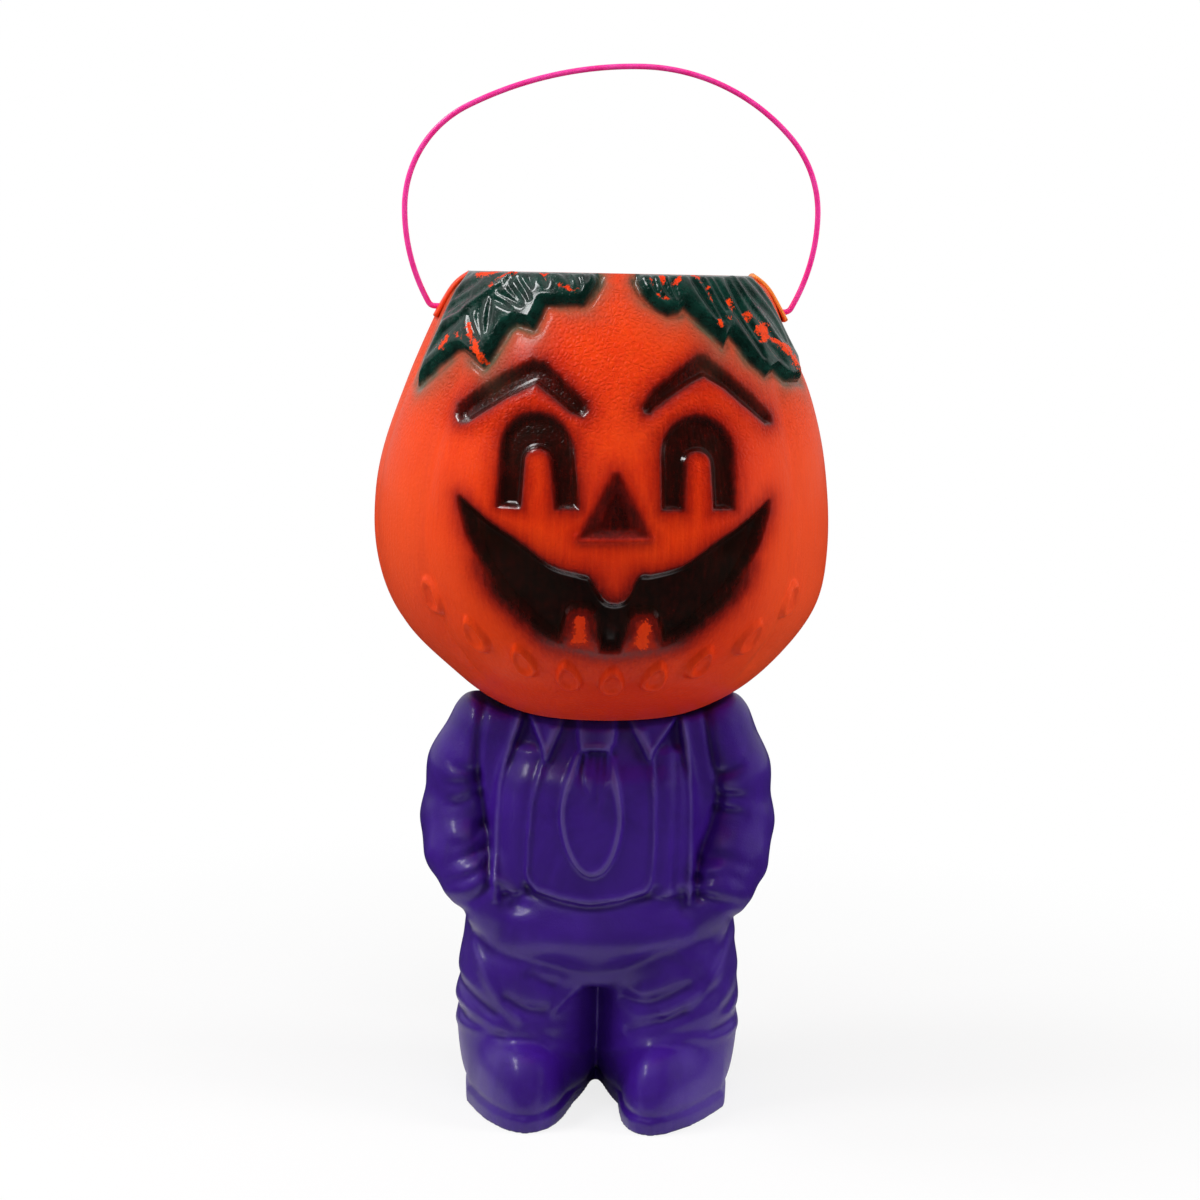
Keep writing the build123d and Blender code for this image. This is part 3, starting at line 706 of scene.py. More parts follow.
world_angle = angle + HEAD_TURN
sideways = np.sin(world_angle)
head_points = np.stack([pushed_r * sideways, -pushed_r * np.cos(world_angle), pushed_z], axis=-1)
head_points[..., 0] += TOP_SHIFT * smooth_step(pushed_z, *SHIFT_LEVELS)
for side, (shift, level, spread) in MOVED_SIDES.items():
    head_points[..., 0] += shift * bell(pushed_z - level, spread) * smooth_step(side * sideways, 0.2, 0.95)
print("relief from", round(float(relief.min()), 2), "to", round(float(relief.max()), 2), "mm")

# %% [markdown]
# ## Orange plastic with sprayed paint
#
# The plastic is a strong orange with a satin shine. Its grain is a fine leathery crinkle from the mould, so
# it goes into the bump. The dark paint of the face is thin at its edges and lets the orange through, which
# makes it dark red there. So the paint is treated as a filter: each channel of the orange is multiplied by
# what passes through that thickness of paint. The green of the leaves covers better, so it is mixed over the
# orange, with a haze outside the edge and bare chips where it has worn off.

# %% Orange finish
# the third colour is a painted sheen for the head's left and right sides
ORANGE, ORANGE_DEEP, ORANGE_SIDE_SHEEN = colour(244, 66, 6), colour(232, 50, 3), colour(238, 92, 52)
LEAF_GREEN, LEAF_DARK, LEAF_HAZE = colour(16, 58, 48), colour(6, 30, 24), colour(96, 88, 68)
# where green or dark paint has worn off: start, end and half width of each chip
CHIPS = [
    ((50.1, 281.4), (51.5, 278.5), 1.7), ((51.5, 278.5), (55.3, 277.1), 0.5),
    ((55.3, 277.1), (58.1, 274.8), 0.6), ((58.1, 274.8), (60.8, 273.3), 1.3),
    ((60.4, 273.3), (65.9, 266.9), 1.1), ((15.8, 298.2), (16.2, 296), 0.7),
    ((20.2, 296), (21.9, 297.8), 0.7), ((12.2, 296.4), (12.4, 295.4), 0.5),
    ((14.6, 292.2), (16.6, 291), 0.5), ((27.2, 299), (28.5, 297), 0.5),
    ((31.3, 294.2), (32.4, 291.3), 0.45), ((38.3, 290), (39.5, 288.2), 0.8),
    ((45.3, 286.4), (46.2, 284.6), 0.5), ((34.6, 283.4), (35, 283), 0.7), ((38, 285.3), (38.4, 285), 0.5),
    ((-44, 297.4), (-38.6, 298.4), 0.8), ((-36.4, 296.4), (-32.4, 298.4), 0.4),
    ((-39.6, 293.8), (-38.4, 294.6), 0.35), ((-23.6, 298.2), (-22.4, 298), 0.5),
    ((-17.3, 294.2), (-13, 292.7), 0.6), ((-47.8, 281), (-46.7, 276.8), 0.55),
    ((-45.6, 274.4), (-44, 270.4), 1.2), ((-54.1, 276.4), (-56.8, 272.7), 0.6),
    ((-50.7, 277), (-50.4, 276.6), 0.5), ((-12, 178), (-12, 185.4), 1.7), ((-13.6, 178), (-10.2, 178), 1.0),
    ((9.3, 177), (9.3, 183.6), 2.1),
]
# what dark paint of thickness 1 takes from red, green and blue, as powers of EULER
EULER, PAINT_TAKES = 2.718, (1.25, 2.3, 1.8)
# the mould's draw marks are long in height, and its pebbles are bent a little
DRAWN_OUT, PEBBLE_BEND = (1.0, 1.0, 0.07), (0.0016, 0.0016, 0.0016)


def orange_finish():
    f = material("orange_plastic_painted")
    place = f.place()
    outside = 1 - f.stored("inner")
    wide = f.noise(place, 22, 2)
    drawn = f.node("ShaderNodeVectorMath", {"operation": "MULTIPLY"}, {0: place, 1: DRAWN_OUT})
    streak = f.noise(drawn, 800, 3, 0.6)
    plastic = f.mix(f.ramp(wide + (streak - 0.5) * 0.5, 0.3, 0.7), ORANGE, ORANGE_DEEP)
    # painted sheen: the head's left and right sides are painted paler, for a reflection of the bright room at
    # grazing angles
    across = f.part(place, "X")
    sides = f.ramp(across, 0.03, 0.075) + f.ramp(across, -0.03, -0.075)
    plastic = f.mix(sides * 0.5 * outside, plastic, ORANGE_SIDE_SHEEN)
    speck = f.noise(place, 900, 3, 0.6)
    blotch = f.noise(place, 160, 4, 0.6)
    worn = f.stored("chip_edge") + (f.noise(place, 420, 5, 0.75) - 0.5) * 8.0
    covered = (1 - f.ramp(worn, 0.15, -0.15)) * outside
    # dark paint in the face, thinner towards its edges, streaky and gritty
    uneven = 1 + (blotch - 0.5) * 0.8 + (streak - 0.5) * 0.8 + (speck - 0.5) * 0.6
    thick = f.stored("paint") * uneven * covered
    passes = {channel: EULER ** (thick * -taken) for channel, taken in enumerate(PAINT_TAKES)}
    painted = f.tint(plastic, f.node("ShaderNodeCombineColor", {}, passes))
    # green paint on the leaves
    leaf = f.stored("leaf_edge") + (blotch - 0.5)
    coat = f.ramp(leaf, 1.0, -0.4) * covered
    away = f.clamp((leaf - 1.4) * 0.08)
    patchy = 0.66 + 0.44 * f.ramp(f.noise(place, 75, 3), 0.36, 0.62)
    green_haze = EULER ** (away * -3.2) * covered * patchy
    tone = f.mix(f.ramp(f.noise(place, 200, 4, 0.6), 0.3, 0.75), LEAF_DARK, LEAF_GREEN)
    final = f.mix(coat, f.mix(green_haze * 0.88, painted, LEAF_HAZE), tone)
    # shine and grain
    film = f.clamp(coat + green_haze * 0.4 + f.ramp(thick, 0.4, 1.6))
    rough = 0.42 - film * 0.2 + (speck - 0.5) * 0.12
    bent = f.node(
        "ShaderNodeVectorMath", {"operation": "MULTIPLY_ADD"},
        {0: f.noise(place, 420, 2, output="Color"), 1: PEBBLE_BEND, 2: place},
    )
    pebble = f.node(
        "ShaderNodeTexVoronoi", {"feature": "DISTANCE_TO_EDGE"}, {"Vector": bent, "Scale": 560.0}, "Distance"
    )
    leathery = 0.2 + 0.8 * f.ramp(f.part(place, "Z") + (wide - 0.5) * 0.06, 0.228, 0.266)
    grain = f.ramp(pebble, 0.0, 0.35) * leathery + streak * (1.25 - leathery) * 0.9 + speck * 0.4
    return f.surface(
        Base_Color=final, Roughness=rough, Normal=f.bump(grain * (1 - film * 0.3), 0.0002),
        Coat_Weight=0.08 + film * 0.8, Coat_Roughness=0.14, IOR=1.5, Specular_IOR_Level=0.1,
    )


print("orange finish over", len(CHIPS), "chips")

# %% The head's mesh
# for brows, eyes, nose and grin: paint inside, half of its soft edge, haze outside and the haze's reach
SPRAY = [(1.5, 1.5, 1.1, 2.7), (1.8, 1.3, 1.1, 2.8), (0.9, 1.6, 1.0, 2.5), (2.4, 1.5, 1.2, 2.7)]
NOSE_PAINT, TOOTH_PAINT, TOOTH_BARE, NO_CHIP = 2.4, 1.5, 1.0, 60.0
paint = NOSE_PAINT * smooth_step(nose_share, 0.6, 1.0)
for edge, (full, soft, spray, reach) in zip((brows, eyes, nose, grin), SPRAY):
    haze = spray * np.exp(-np.maximum(edge, 0) / reach)
    paint = np.maximum(paint, full * smooth_step(-edge, -soft, soft) + haze)
# the haze below the grin is thicker, but less so under its middle
low_lip = smooth_step(214 - flat_z, 0, 22) * (1.5 + 1.7 * smooth_step(np.abs(flat_x + 0.5), 12, 26))
paint = np.maximum(paint, low_lip * np.exp(-((np.maximum(grin, 0) / 3.6) ** 1.3)))
for tooth in TEETH:
    in_tooth = -outline_distance(flat_x, flat_z, tooth)
    on_tooth = smooth_step(in_tooth, -1, 1) * smooth_step(flat_z, 173, 179)
    paint = np.maximum(paint, (TOOTH_PAINT - TOOTH_BARE * smooth_step(in_tooth, 1.2, 4.2)) * on_tooth)
chip_edge = np.full(flat_x.shape, NO_CHIP)
for start, end, half in CHIPS:
    distance, _ = line_distance(flat_x, flat_z, np.array([start, end]))
    chip_edge = np.minimum(chip_edge, distance - half)


def wrapped_quads(rows, columns):
    """Quads of a sheet that closes on itself both ways."""
    index = np.arange(rows * columns).reshape(rows, columns)
    right, up = np.roll(index, -1, axis=1), np.roll(index, -1, axis=0)
    both = np.roll(right, -1, axis=0)
    return np.stack([index, right, both, up], axis=-1).reshape(-1, 4)


def sheet_map(piece, rows, columns):
    """Lays the rows and columns out flat, so that the finish can be baked without stretching the face."""
    layer = piece.data.uv_layers.new(name="OFBake")
    across, up = np.meshgrid(np.arange(columns), np.arange(rows))
    corners = np.stack([
        np.stack([across, up], -1), np.stack([across + 1, up], -1),
        np.stack([across + 1, up + 1], -1), np.stack([across, up + 1], -1),
    ], axis=2).reshape(-1, 2)
    layer.data.foreach_set("uv", (corners / np.array([columns, rows])).astype(np.float32).ravel())


rows, columns = turn.shape
head = add_piece(
    "pumpkin_head", head_points.reshape(-1, 3), wrapped_quads(rows, columns), orange_finish(), "head",
)
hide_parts("pumpkin_pail")
store(head, "paint", paint)
store(head, "leaf_edge", leaf_edge)
store(head, "chip_edge", chip_edge)
store(head, "inner", np.broadcast_to(np.clip(is_inner * 2, 0, 1)[:, None], turn.shape))
sheet_map(head, rows, columns)

# %% [markdown]
# ## The tabs
#
# On both sides a tongue of the wall is folded over the rim and pressed against the shoulder. The strand goes
# through it. The right tongue is thin, and its colour is painted paler and yellower than the rest, as a
# painted glow for the light that shines through it. The left one is pressed almost flat. Each is a strap that
# follows the shoulder's section, with a rounded edge.

# %% Tabs
TAB_HALF_WIDTH, TAB_THICKNESS, TAB_LENGTH = 6.5, 1.7, 17.0
TAB_SUNK = {-1: -1.7, 1: -0.6}
TAB_LIFT, TAB_RING, TAB_END_SHARE, TAB_END_RISE = 0.5, 28, 0.72, 0.35


def boxy(wave, power):
    """A wave with flatter tops, which makes a round section squarer."""
    return np.sign(wave) * np.abs(wave) ** power


def tab_points(side):
    """Rings of a strap from the rim down the shoulder, drawn in at both ends."""
    start = int(np.searchsorted(outer[:, 1], RIM - TAB_LENGTH))
    line = outer[start:][::-1][::2]
    out = outer_normals[start:][::-1][::2]
    stand = TAB_SUNK[side] + TAB_LIFT * np.linspace(0, 1, len(line))
    ring = np.linspace(0, 2 * math.pi, TAB_RING, endpoint=False)
    across = TAB_HALF_WIDTH * boxy(np.cos(ring), 0.35)
    thick = 0.5 * TAB_THICKNESS * (1 + boxy(np.sin(ring), 0.55))
    rows = []
    for (r, z), (nr, nz), lift in zip(line, out, stand):
        level = lift + thick
        rows.append(np.column_stack([side * (r + nr * level), across, z + nz * level]))
    ends = []
    for ring, rise in ((rows[0], TAB_END_RISE), (rows[-1], -TAB_END_RISE)):
        middle = ring.mean(0)
        ends.append((ring - middle) * TAB_END_SHARE + middle + np.array([0, 0, rise]))
    rows = np.array([ends[0], *rows, ends[1]])
    bow = np.sqrt(np.maximum(rows[..., 0] ** 2 - rows[..., 1] ** 2, 1))
    rows[..., 0] = side * bow + TOP_SHIFT
    return rows


def capped_tube(points):
    """Quads of a tube of rings, with both ends closed by strips."""
    rows, columns = points.shape[:2]
    index = np.arange(rows * columns).reshape(rows, columns)
    right = np.roll(index, -1, axis=1)
    quads = np.stack([index[:-1], right[:-1], right[1:], index[1:]], axis=-1).reshape(-1, 4)
    half = columns // 2
    caps = []
    for ring, flip in ((index[0], True), (index[-1], False)):
        for k in range(half - 1):
            quad = [ring[k], ring[k + 1], ring[columns - 2 - k], ring[columns - 1 - k]]
            caps.append(quad[::-1] if flip else quad)
    return np.vstack([quads, caps])


def outward(points, quads):
    """The same quads, turned over if the mesh is inside out."""
    a, b, c, d = (points[quads[:, k]] for k in range(4))
    volume = (a * (np.cross(b, c) + np.cross(c, d))).sum()
    return quads if volume > 0 else quads[:, ::-1]


def turned(points):
    """Points of the head's own frame, with the head's turn."""
    c, s = math.cos(HEAD_TURN), math.sin(HEAD_TURN)
    x, y, z = np.moveaxis(points, -1, 0)
    return np.stack([x * c - y * s, x * s + y * c, z], axis=-1)


def tab_finish(name, light, deep):
    f = material(name)
    place = f.place()
    pale = f.mix(f.ramp(f.noise(place, 90, 3), 0.3, 0.7), light, deep)
    grain = f.noise(place, 700, 4, 0.6)
    return f.surface(
        Base_Color=pale, Roughness=0.4 + (grain - 0.5) * 0.1, Normal=f.bump(grain, 0.0001, 0.4), IOR=1.5,
    )


tab_plastic = {
    -1: tab_finish("folded_orange_plastic", ORANGE, ORANGE_DEEP),
    # the right tab's colours are painted paler and yellower, a painted glow of light shining through thin
    # plastic
    1: tab_finish("thin_orange_plastic_painted_glow", colour(248, 150, 62), colour(240, 118, 40)),
}
for side, name in ((-1, "left_tab"), (1, "right_tab")):
    rings = turned(tab_points(side))
    flat = rings.reshape(-1, 3)
    add_piece(name, flat, outward(flat, capped_tube(rings)), tab_plastic[side], "head")

# %% [markdown]
# ## Clay for the figure
#
# The figure is all soft forms that run into each other: arms into jacket, belly into trousers. Such a body is
# easier to knead than to build from faces. Here clay is a block of numbers, one for each small cube of
# space, that says how far the surface is: below zero inside, above zero outside. Two forms are joined by the
# smaller of their numbers, with a rounding where they meet. At the end a mesher lays quads along the zero.

# %% Clay
VOXEL = 0.8
CLAY_LOW, CLAY_HIGH = (-68.0, -60.0, -4.0), (68.0, 46.0, 158.0)
clay_x, clay_y, clay_z = (
    np.arange(low, high, VOXEL, dtype=np.float32) for low, high in zip(CLAY_LOW, CLAY_HIGH)
)
Y, Z = clay_y[None, :, None], clay_z[None, None, :]
# the figure leans aside by these amounts at these heights
LEAN_LEVELS, LEAN = [0, 70, 90, 140], [1.8, 2.0, 0.4, 1.0]
JOINT_ROUND = 4.0
X = clay_x[:, None, None] - np.interp(clay_z, LEAN_LEVELS, LEAN).astype(np.float32)


def merge(first, second, rounding):
    """Two forms joined, with a soft hollow where they meet."""
    share = np.clip(0.5 + 0.5 * (second - first) / rounding, 0, 1)
    return second * (1 - share) + first * share - rounding * share * (1 - share)


def blob(middle, halves):
    px, py, pz = ((axis - m) / h for axis, m, h in zip((X, Y, Z), middle, halves))
    reach = np.sqrt(px**2 + py**2 + pz**2)
    slope = np.sqrt((px / halves[0]) ** 2 + (py / halves[1]) ** 2 + (pz / halves[2]) ** 2)
    return reach * (reach - 1) / np.maximum(slope, 1e-4)


def column(middle, levels, power=2.0, lying=False):
    """A form through ovals: where, half width, half depth and middle. A higher power makes it boxier."""
    line = flowing(levels, 10)
    axis, other, end_rounding = (Y, Z, 2.0) if lying else (Z, Y, 5.0)
    wide, deep, back = (np.interp(axis, line[:, 0], line[:, k]).astype(np.float32) for k in (1, 2, 3))
    u, v = np.abs((X - middle) / wide), np.abs((other - back) / deep)
    reach = np.maximum((u**power + v**power) ** (1 / power), 1e-3)
    slope = np.hypot((u / reach) ** (power - 1) / wide, (v / reach) ** (power - 1) / deep)
    side = (reach - 1) / np.maximum(slope, 1e-4)
    ends = np.maximum(levels[0][0] - axis, axis - levels[-1][0])
    return -merge(-side, -ends, end_rounding)


def limb(joints, deepen):
    """A limb through joints, each with a radius, deeper than wide by a factor."""
    form = None
    for (ax, ay, az, start), (bx, by, bz, end) in zip(joints, joints[1:]):
        ex, ey, ez = bx - ax, (by - ay) / deepen, bz - az
        px, py, pz = X - ax, (Y - ay) / deepen, Z - az
        along = np.clip((px * ex + py * ey + pz * ez) / (ex * ex + ey * ey + ez * ez), 0, 1)
        off = np.sqrt((px - along * ex) ** 2 + (py - along * ey) ** 2 + (pz - along * ez) ** 2)
        run = off - (start + along * (end - start))
        form = run if form is None else merge(form, run, JOINT_ROUND)
    return form


print("clay of", len(clay_x), "x", len(clay_y), "x", len(clay_z), "cubes")

# %% [markdown]
# The rough body comes first: a torso, a round belly over it, two arms that end in the trouser pockets, two
# legs and two shoes. The heights and widths were read from the outline in the photograph.

# %% Rough body
TORSO = [
    (46, 40, 30, 0), (62, 46.5, 36, 0), (78, 45.5, 37, 0), (94, 44, 36.8, 0), (107, 44, 36.4, 0),
    (116, 43.8, 35, 0), (124, 43.5, 32.6, 0), (131, 42.8, 29.4, 0), (138, 42, 27, 0), (153, 38, 25, 0),
]
LEG = [
    (2, 19.8, 26, 1), (6, 21.8, 28, 0), (11, 24.8, 30, 0), (20, 26.4, 32, -0.5), (34, 27.2, 33, -1),
    (48, 26.8, 33, -1), (60, 24.8, 33.5, 0), (74, 22, 34, 0),
]
ARM = [(46.0, 3, 120, 16.0), (49.2, 2, 102, 14.8), (48.2, -6, 91, 13.6), (42.5, -17, 83, 11.5)]
HAND = [(45, -16, 82, 11.0), (40, -21, 74, 9.0)]
SHOE = [
    (-51.8, 1.2, 4, 4.5), (-51, 3.6, 8, 4.6), (-49.4, 5.4, 12.6, 4.9), (-47, 7.6, 16.4, 5.1),
    (-44, 9.6, 19, 5.3), (-40, 11.8, 20.8, 5.5), (-34, 14.2, 22, 5.7), (-27, 16.4, 22.8, 5.9),
    (-19, 18.6, 23, 6), (-10, 20.2, 22.4, 6), (2, 21.7, 21, 6), (13, 22.4, 19, 6), (22, 19, 17, 6),
    (27, 13, 14, 6),
]
SHOE_OUT_AT = [-52, -47, -40, -30, -19, -10, 2, 13]
SHOE_OUT = [22.8, 23.4, 24.5, 26, 27.4, 26.5, 25.2, 23.6]
SHOULDERS = {-1: (-39.8, 2, 135, 15.2), 1: (40.5, 2, 136.5, 15.2)}
PAUNCH_MIDDLE, PAUNCH_HALVES = (0, -3, 66), (47.5, 36.5, 17.5)
LEG_MIDDLE, SHOE_POWER, SOLE_HEIGHT, WELT_WIDTH, WELT_DEPTH, FLANGE = 24.6, 2.6, 5.6, 0.9, 0.8, 0.9
BELLY_ROUND, LEG_ROUND, HAND_ROUND, ARM_ROUND, SHOE_ROUND = 5.0, 4.0, 4.0, 6.0, 4.5
ARM_DEEPEN, HAND_DEEPEN = 1.3, 1.1
# the left and the right toe point aside by different amounts
TOE_SHIFT = {-1: 1.8, 1: 3.6}
toes_aside = np.interp(clay_y, [-52, -20], [1, 0])
shoe_line = np.interp(clay_y, SHOE_OUT_AT, SHOE_OUT)
welt = bell(Z - SOLE_HEIGHT - WELT_WIDTH, WELT_WIDTH) * WELT_DEPTH
flange = smooth_step(SOLE_HEIGHT - Z, -0.4, 0.4) * FLANGE

body = merge(column(0, TORSO), blob(PAUNCH_MIDDLE, PAUNCH_HALVES), BELLY_ROUND)
legs = np.minimum(column(-LEG_MIDDLE, LEG), column(LEG_MIDDLE, LEG))
body = merge(body, legs, LEG_ROUND)
for side in (-1, 1):
    arm, hand = ([(side * x, y, z, r) for x, y, z, r in joints] for joints in (ARM, HAND))
    arm = limb([SHOULDERS[side], *arm], ARM_DEEPEN)
    body = merge(body, merge(arm, limb(hand, HAND_DEEPEN), HAND_ROUND), ARM_ROUND)
    shoe_x = side * shoe_line - TOE_SHIFT[side] * toes_aside
    upper = column(shoe_x[None, :, None].astype(np.float32), SHOE, SHOE_POWER, lying=True)
    body = merge(body, upper + welt - flange, SHOE_ROUND)
print("rough body", body.shape, "from", round(float(body.min()), 1))

# %% [markdown]
# ## Folds, lapels and the tie
#
# The clothes are shallow relief in the mould, so they are drawn as heights on a flat sheet seen from the
# front, and then pressed into the clay. A line can be a ridge or a groove, and an outline can be a raised or
# sunken panel. The places were read from the photograph, in millimetres from the middle and from the floor.

# %% Relief sheet
sheet_x, sheet_z = clay_x[:, None].astype(float), clay_z[None, :].astype(float)
sheet_x, sheet_z = np.broadcast_arrays(sheet_x, sheet_z)


def stroke(points, height, width, start=1.0, end=1.0):
    """A ridge, or a groove if its height is below zero, that may fade towards either end."""
    distance, along = line_distance(sheet_x, sheet_z, flowing(points, 8))
    return height * bell(distance, width) * (start + (end - start) * along)


def strokes(groups):
    """The sum of groups of lines, where each group has one height and width, and may fade."""
    return sum(stroke(line, *values) for lines, *values in groups for line in lines)


SHIRT = [
    (-17, 140), (-19.2, 131), (-22, 120.8), (-23.6, 113.8), (-24.7, 99.9), (-25.1, 88.5), (-24, 85.1),
    (-20.6, 81.9), (-12, 79.9), (-1.7, 78.9), (9.4, 80.2), (18.5, 82.8), (20.4, 85.9), (21.2, 89.5),
    (21.8, 100.8), (21.5, 114.7), (20.7, 128.5), (17, 140),
]
JACKET_LEFT = [
    (-24, 152), (-29.9, 134.1), (-33.6, 122.7), (-34.8, 116.6), (-35.5, 102.7), (-35.7, 87), (-35, 79),
]
JACKET_RIGHT = [(28, 152), (32.3, 128.4), (33.8, 116.2), (34.2, 100.6), (34.2, 87), (33.6, 79)]
ARM_LEFT = [(-39.8, 150.9), (-41.8, 138.8), (-42.5, 125.7), (-41, 111.8), (-38.2, 95.1), (-37.6, 86.3)]
ARM_RIGHT = [(37.6, 150), (40, 136), (43.4, 116.9), (41.6, 104.6), (37.6, 94), (36.4, 86.9)]
COLLARS = [[(-28.5, 151), (-9.5, 146), (-17.8, 126.8)], [(8.5, 146), (35, 151), (18.3, 128.4)]]
KNOT = [(-8.4, 148), (8.4, 148), (6.8, 134.2), (4.4, 132.0), (-6.0, 131.8), (-7.4, 134.2)]
TIE_POINTS = [
    (-5.4, 133.4), (-10.2, 124), (-12.8, 113), (-12, 103.6), (-9.4, 96), (-5.6, 90.8), (-1.2, 88.8),
    (3.4, 90.8), (6.8, 96), (8.9, 103.6), (9.4, 112), (7.2, 124.2), (4.4, 133.4),
]
TIE = flowing(TIE_POINTS, 5, closed=True)
print("sheet", sheet_x.shape)

# %% Jacket, shirt and tie
SHIRT_HEM = [(-24, 83), (-20.6, 79.6), (-12, 77.8), (-1.7, 76.8), (9.4, 78), (18.5, 80.6), (22, 84)]
PLEATS = [
    [(-5, 131.5), (-5.4, 122.4), (-3.4, 117.5)], [(-2.2, 132), (-2.4, 125)],
    [(0.4, 132), (0.1, 120), (0.2, 111)], [(3.0, 132), (2.5, 123), (1.5, 116)], [(5.4, 131), (4.8, 124)],
]
# lines, their height and width, and how strong they are at the start and at the end
SEAMS = [
    ([JACKET_LEFT, JACKET_RIGHT], 1.3, 1.4),
    ([ARM_LEFT, ARM_RIGHT], -1.8, 1.7, 0.9, 0.6),
    ([SHIRT_HEM], -1.1, 1.5),
    (PLEATS, -2.0, 1.0, 1.0, 0.2),
    ([[(-3.8, 131.5), (-3.8, 124), (-2, 118)]], 0.5, 0.8, 1.0, 0.2),
    ([[(27.4, 136), (28.2, 116), (27.6, 84)]], -1.0, 1.1, 0.5, 1.0),
]
SHIRT_LEFT = [
    (-17, 140), (-19.2, 131), (-22, 120.8), (-23.6, 113.8), (-24.7, 99.9), (-25.1, 88.5), (-24.4, 85),
]
SHIRT_RIGHT = [(17, 140), (20.7, 128.5), (21.5, 114.7), (21.8, 100.8), (21.2, 89.5), (19, 83)]
FRONT_SUNK, FRONT_FILLED, SHIRT_RIM, ROLL_HEIGHT = 3.0, 2.0, 1.5, 2.2
COLLAR_HEIGHT, COLLAR_RIM, KNOT_HEIGHT, TIE_HEIGHT, TIE_RIM = 2.6, 0.8, 3.0, 1.1, 1.6


def across_at(line):
    """Where a line down the front lies at each height of the clay."""
    x, z = np.array(line)[::-1].T
    return np.interp(clay_z, z, x)


left_edge_x, right_edge_x = (across_at(flowing(line, 6)) for line in (JACKET_LEFT, JACKET_RIGHT))
between = smooth_step(sheet_x - left_edge_x, -0.4, 1.6) * smooth_step(right_edge_x - sheet_x, -0.4, 1.6)
open_front = between * smooth_step(sheet_z, 78.5, 80.5)
below_collar = smooth_step(134 - sheet_z, 0, 4)
clothes = (FRONT_FILLED * smooth_step(128 - sheet_z, 0, 8) - FRONT_SUNK) * open_front + strokes(SEAMS)
shirt_edge = outline_distance(sheet_x, sheet_z, SHIRT)
clothes += smooth_step(-shirt_edge, -0.6, 1.2) + SHIRT_RIM * bell(shirt_edge + 0.9, 1.0) * below_collar
for collar in COLLARS:
    collar_edge = outline_distance(sheet_x, sheet_z, collar)
    clothes += COLLAR_HEIGHT * smooth_step(-collar_edge, -0.4, 1.3)
    clothes += COLLAR_RIM * bell(collar_edge + 1.2, 1.0)
clothes += KNOT_HEIGHT * smooth_step(-outline_distance(sheet_x, sheet_z, KNOT), -0.6, 2.2)
tie_edge = outline_distance(sheet_x, sheet_z, TIE)
clothes += TIE_HEIGHT * smooth_step(-tie_edge, -0.6, 1.0) + TIE_RIM * bell(tie_edge + 1.1, 1.0)
# a soft roll on each side, from the jacket's edge to the shirt
for outer_x, shirt_line in ((left_edge_x, SHIRT_LEFT), (right_edge_x, SHIRT_RIGHT)):
    share = np.clip((sheet_x - outer_x) / (across_at(shirt_line) - outer_x), 0, 1)
    roll = ROLL_HEIGHT * np.sqrt(np.clip(4 * share * (1 - share), 0, 1))
    clothes += roll * smooth_step(sheet_z, 79, 82) * below_collar
print("clothes from", round(float(clothes.min()), 2), "to", round(float(clothes.max()), 2), "mm")

# %% Sleeves, pockets and trousers
SLEEVE_FOLDS = [
    [(-57.5, 129.6), (-51.4, 123.6), (-43.5, 121.6)], [(-63, 118.6), (-52.2, 117.4), (-43.5, 118.8)],
    [(-63, 108.5), (-49.5, 110.4), (-43, 113.8)], [(-53, 95.6), (-44.5, 98), (-41.4, 102.5)],
    [(-60, 85.5), (-49.5, 90.5), (-41.2, 94.6)], [(-58.5, 80), (-47.5, 85), (-39.6, 89.6)],
    [(-51, 77), (-43.4, 78.2), (-37.6, 84.0)],
    [(63, 130.4), (54.6, 126.8), (45.2, 123.1)], [(64, 116.6), (55, 114.4), (45.4, 115.1)],
    [(63, 103.0), (53.4, 107.8), (44.6, 109.7)], [(58, 89.6), (46, 94), (38.6, 91.6)],
    [(60, 81), (47, 88.3), (37.1, 86.3)], [(57, 76.0), (46.5, 79), (37.2, 81)],
]
# line, height and width
SLEEVE_PUFFS = [
    ([(-58, 122), (-48, 119)], 1.0, 3.4), ([(-54, 113.6), (-44.6, 112)], 1.0, 2.6),
    ([(-57, 101), (-45, 99)], 1.6, 4.4), ([(-53, 89), (-42, 90.4)], 1.4, 3.0),
    ([(58, 121), (47, 118)], 0.9, 3.4), ([(57, 111), (47, 112)], 0.7, 2.8),
    ([(55, 98), (45, 99)], 1.3, 4.4), ([(51, 88), (40, 91)], 1.2, 2.8),
]
sleeves = strokes([(SLEEVE_FOLDS, -1.7, 2.1, 0.1, 1.0)])
sleeves += strokes(([puff], height, width, 0.3, 1.0) for puff, height, width in SLEEVE_PUFFS)
clothes += sleeves * (1 - 0.85 * smooth_step(np.abs(sheet_x), 50, 57))
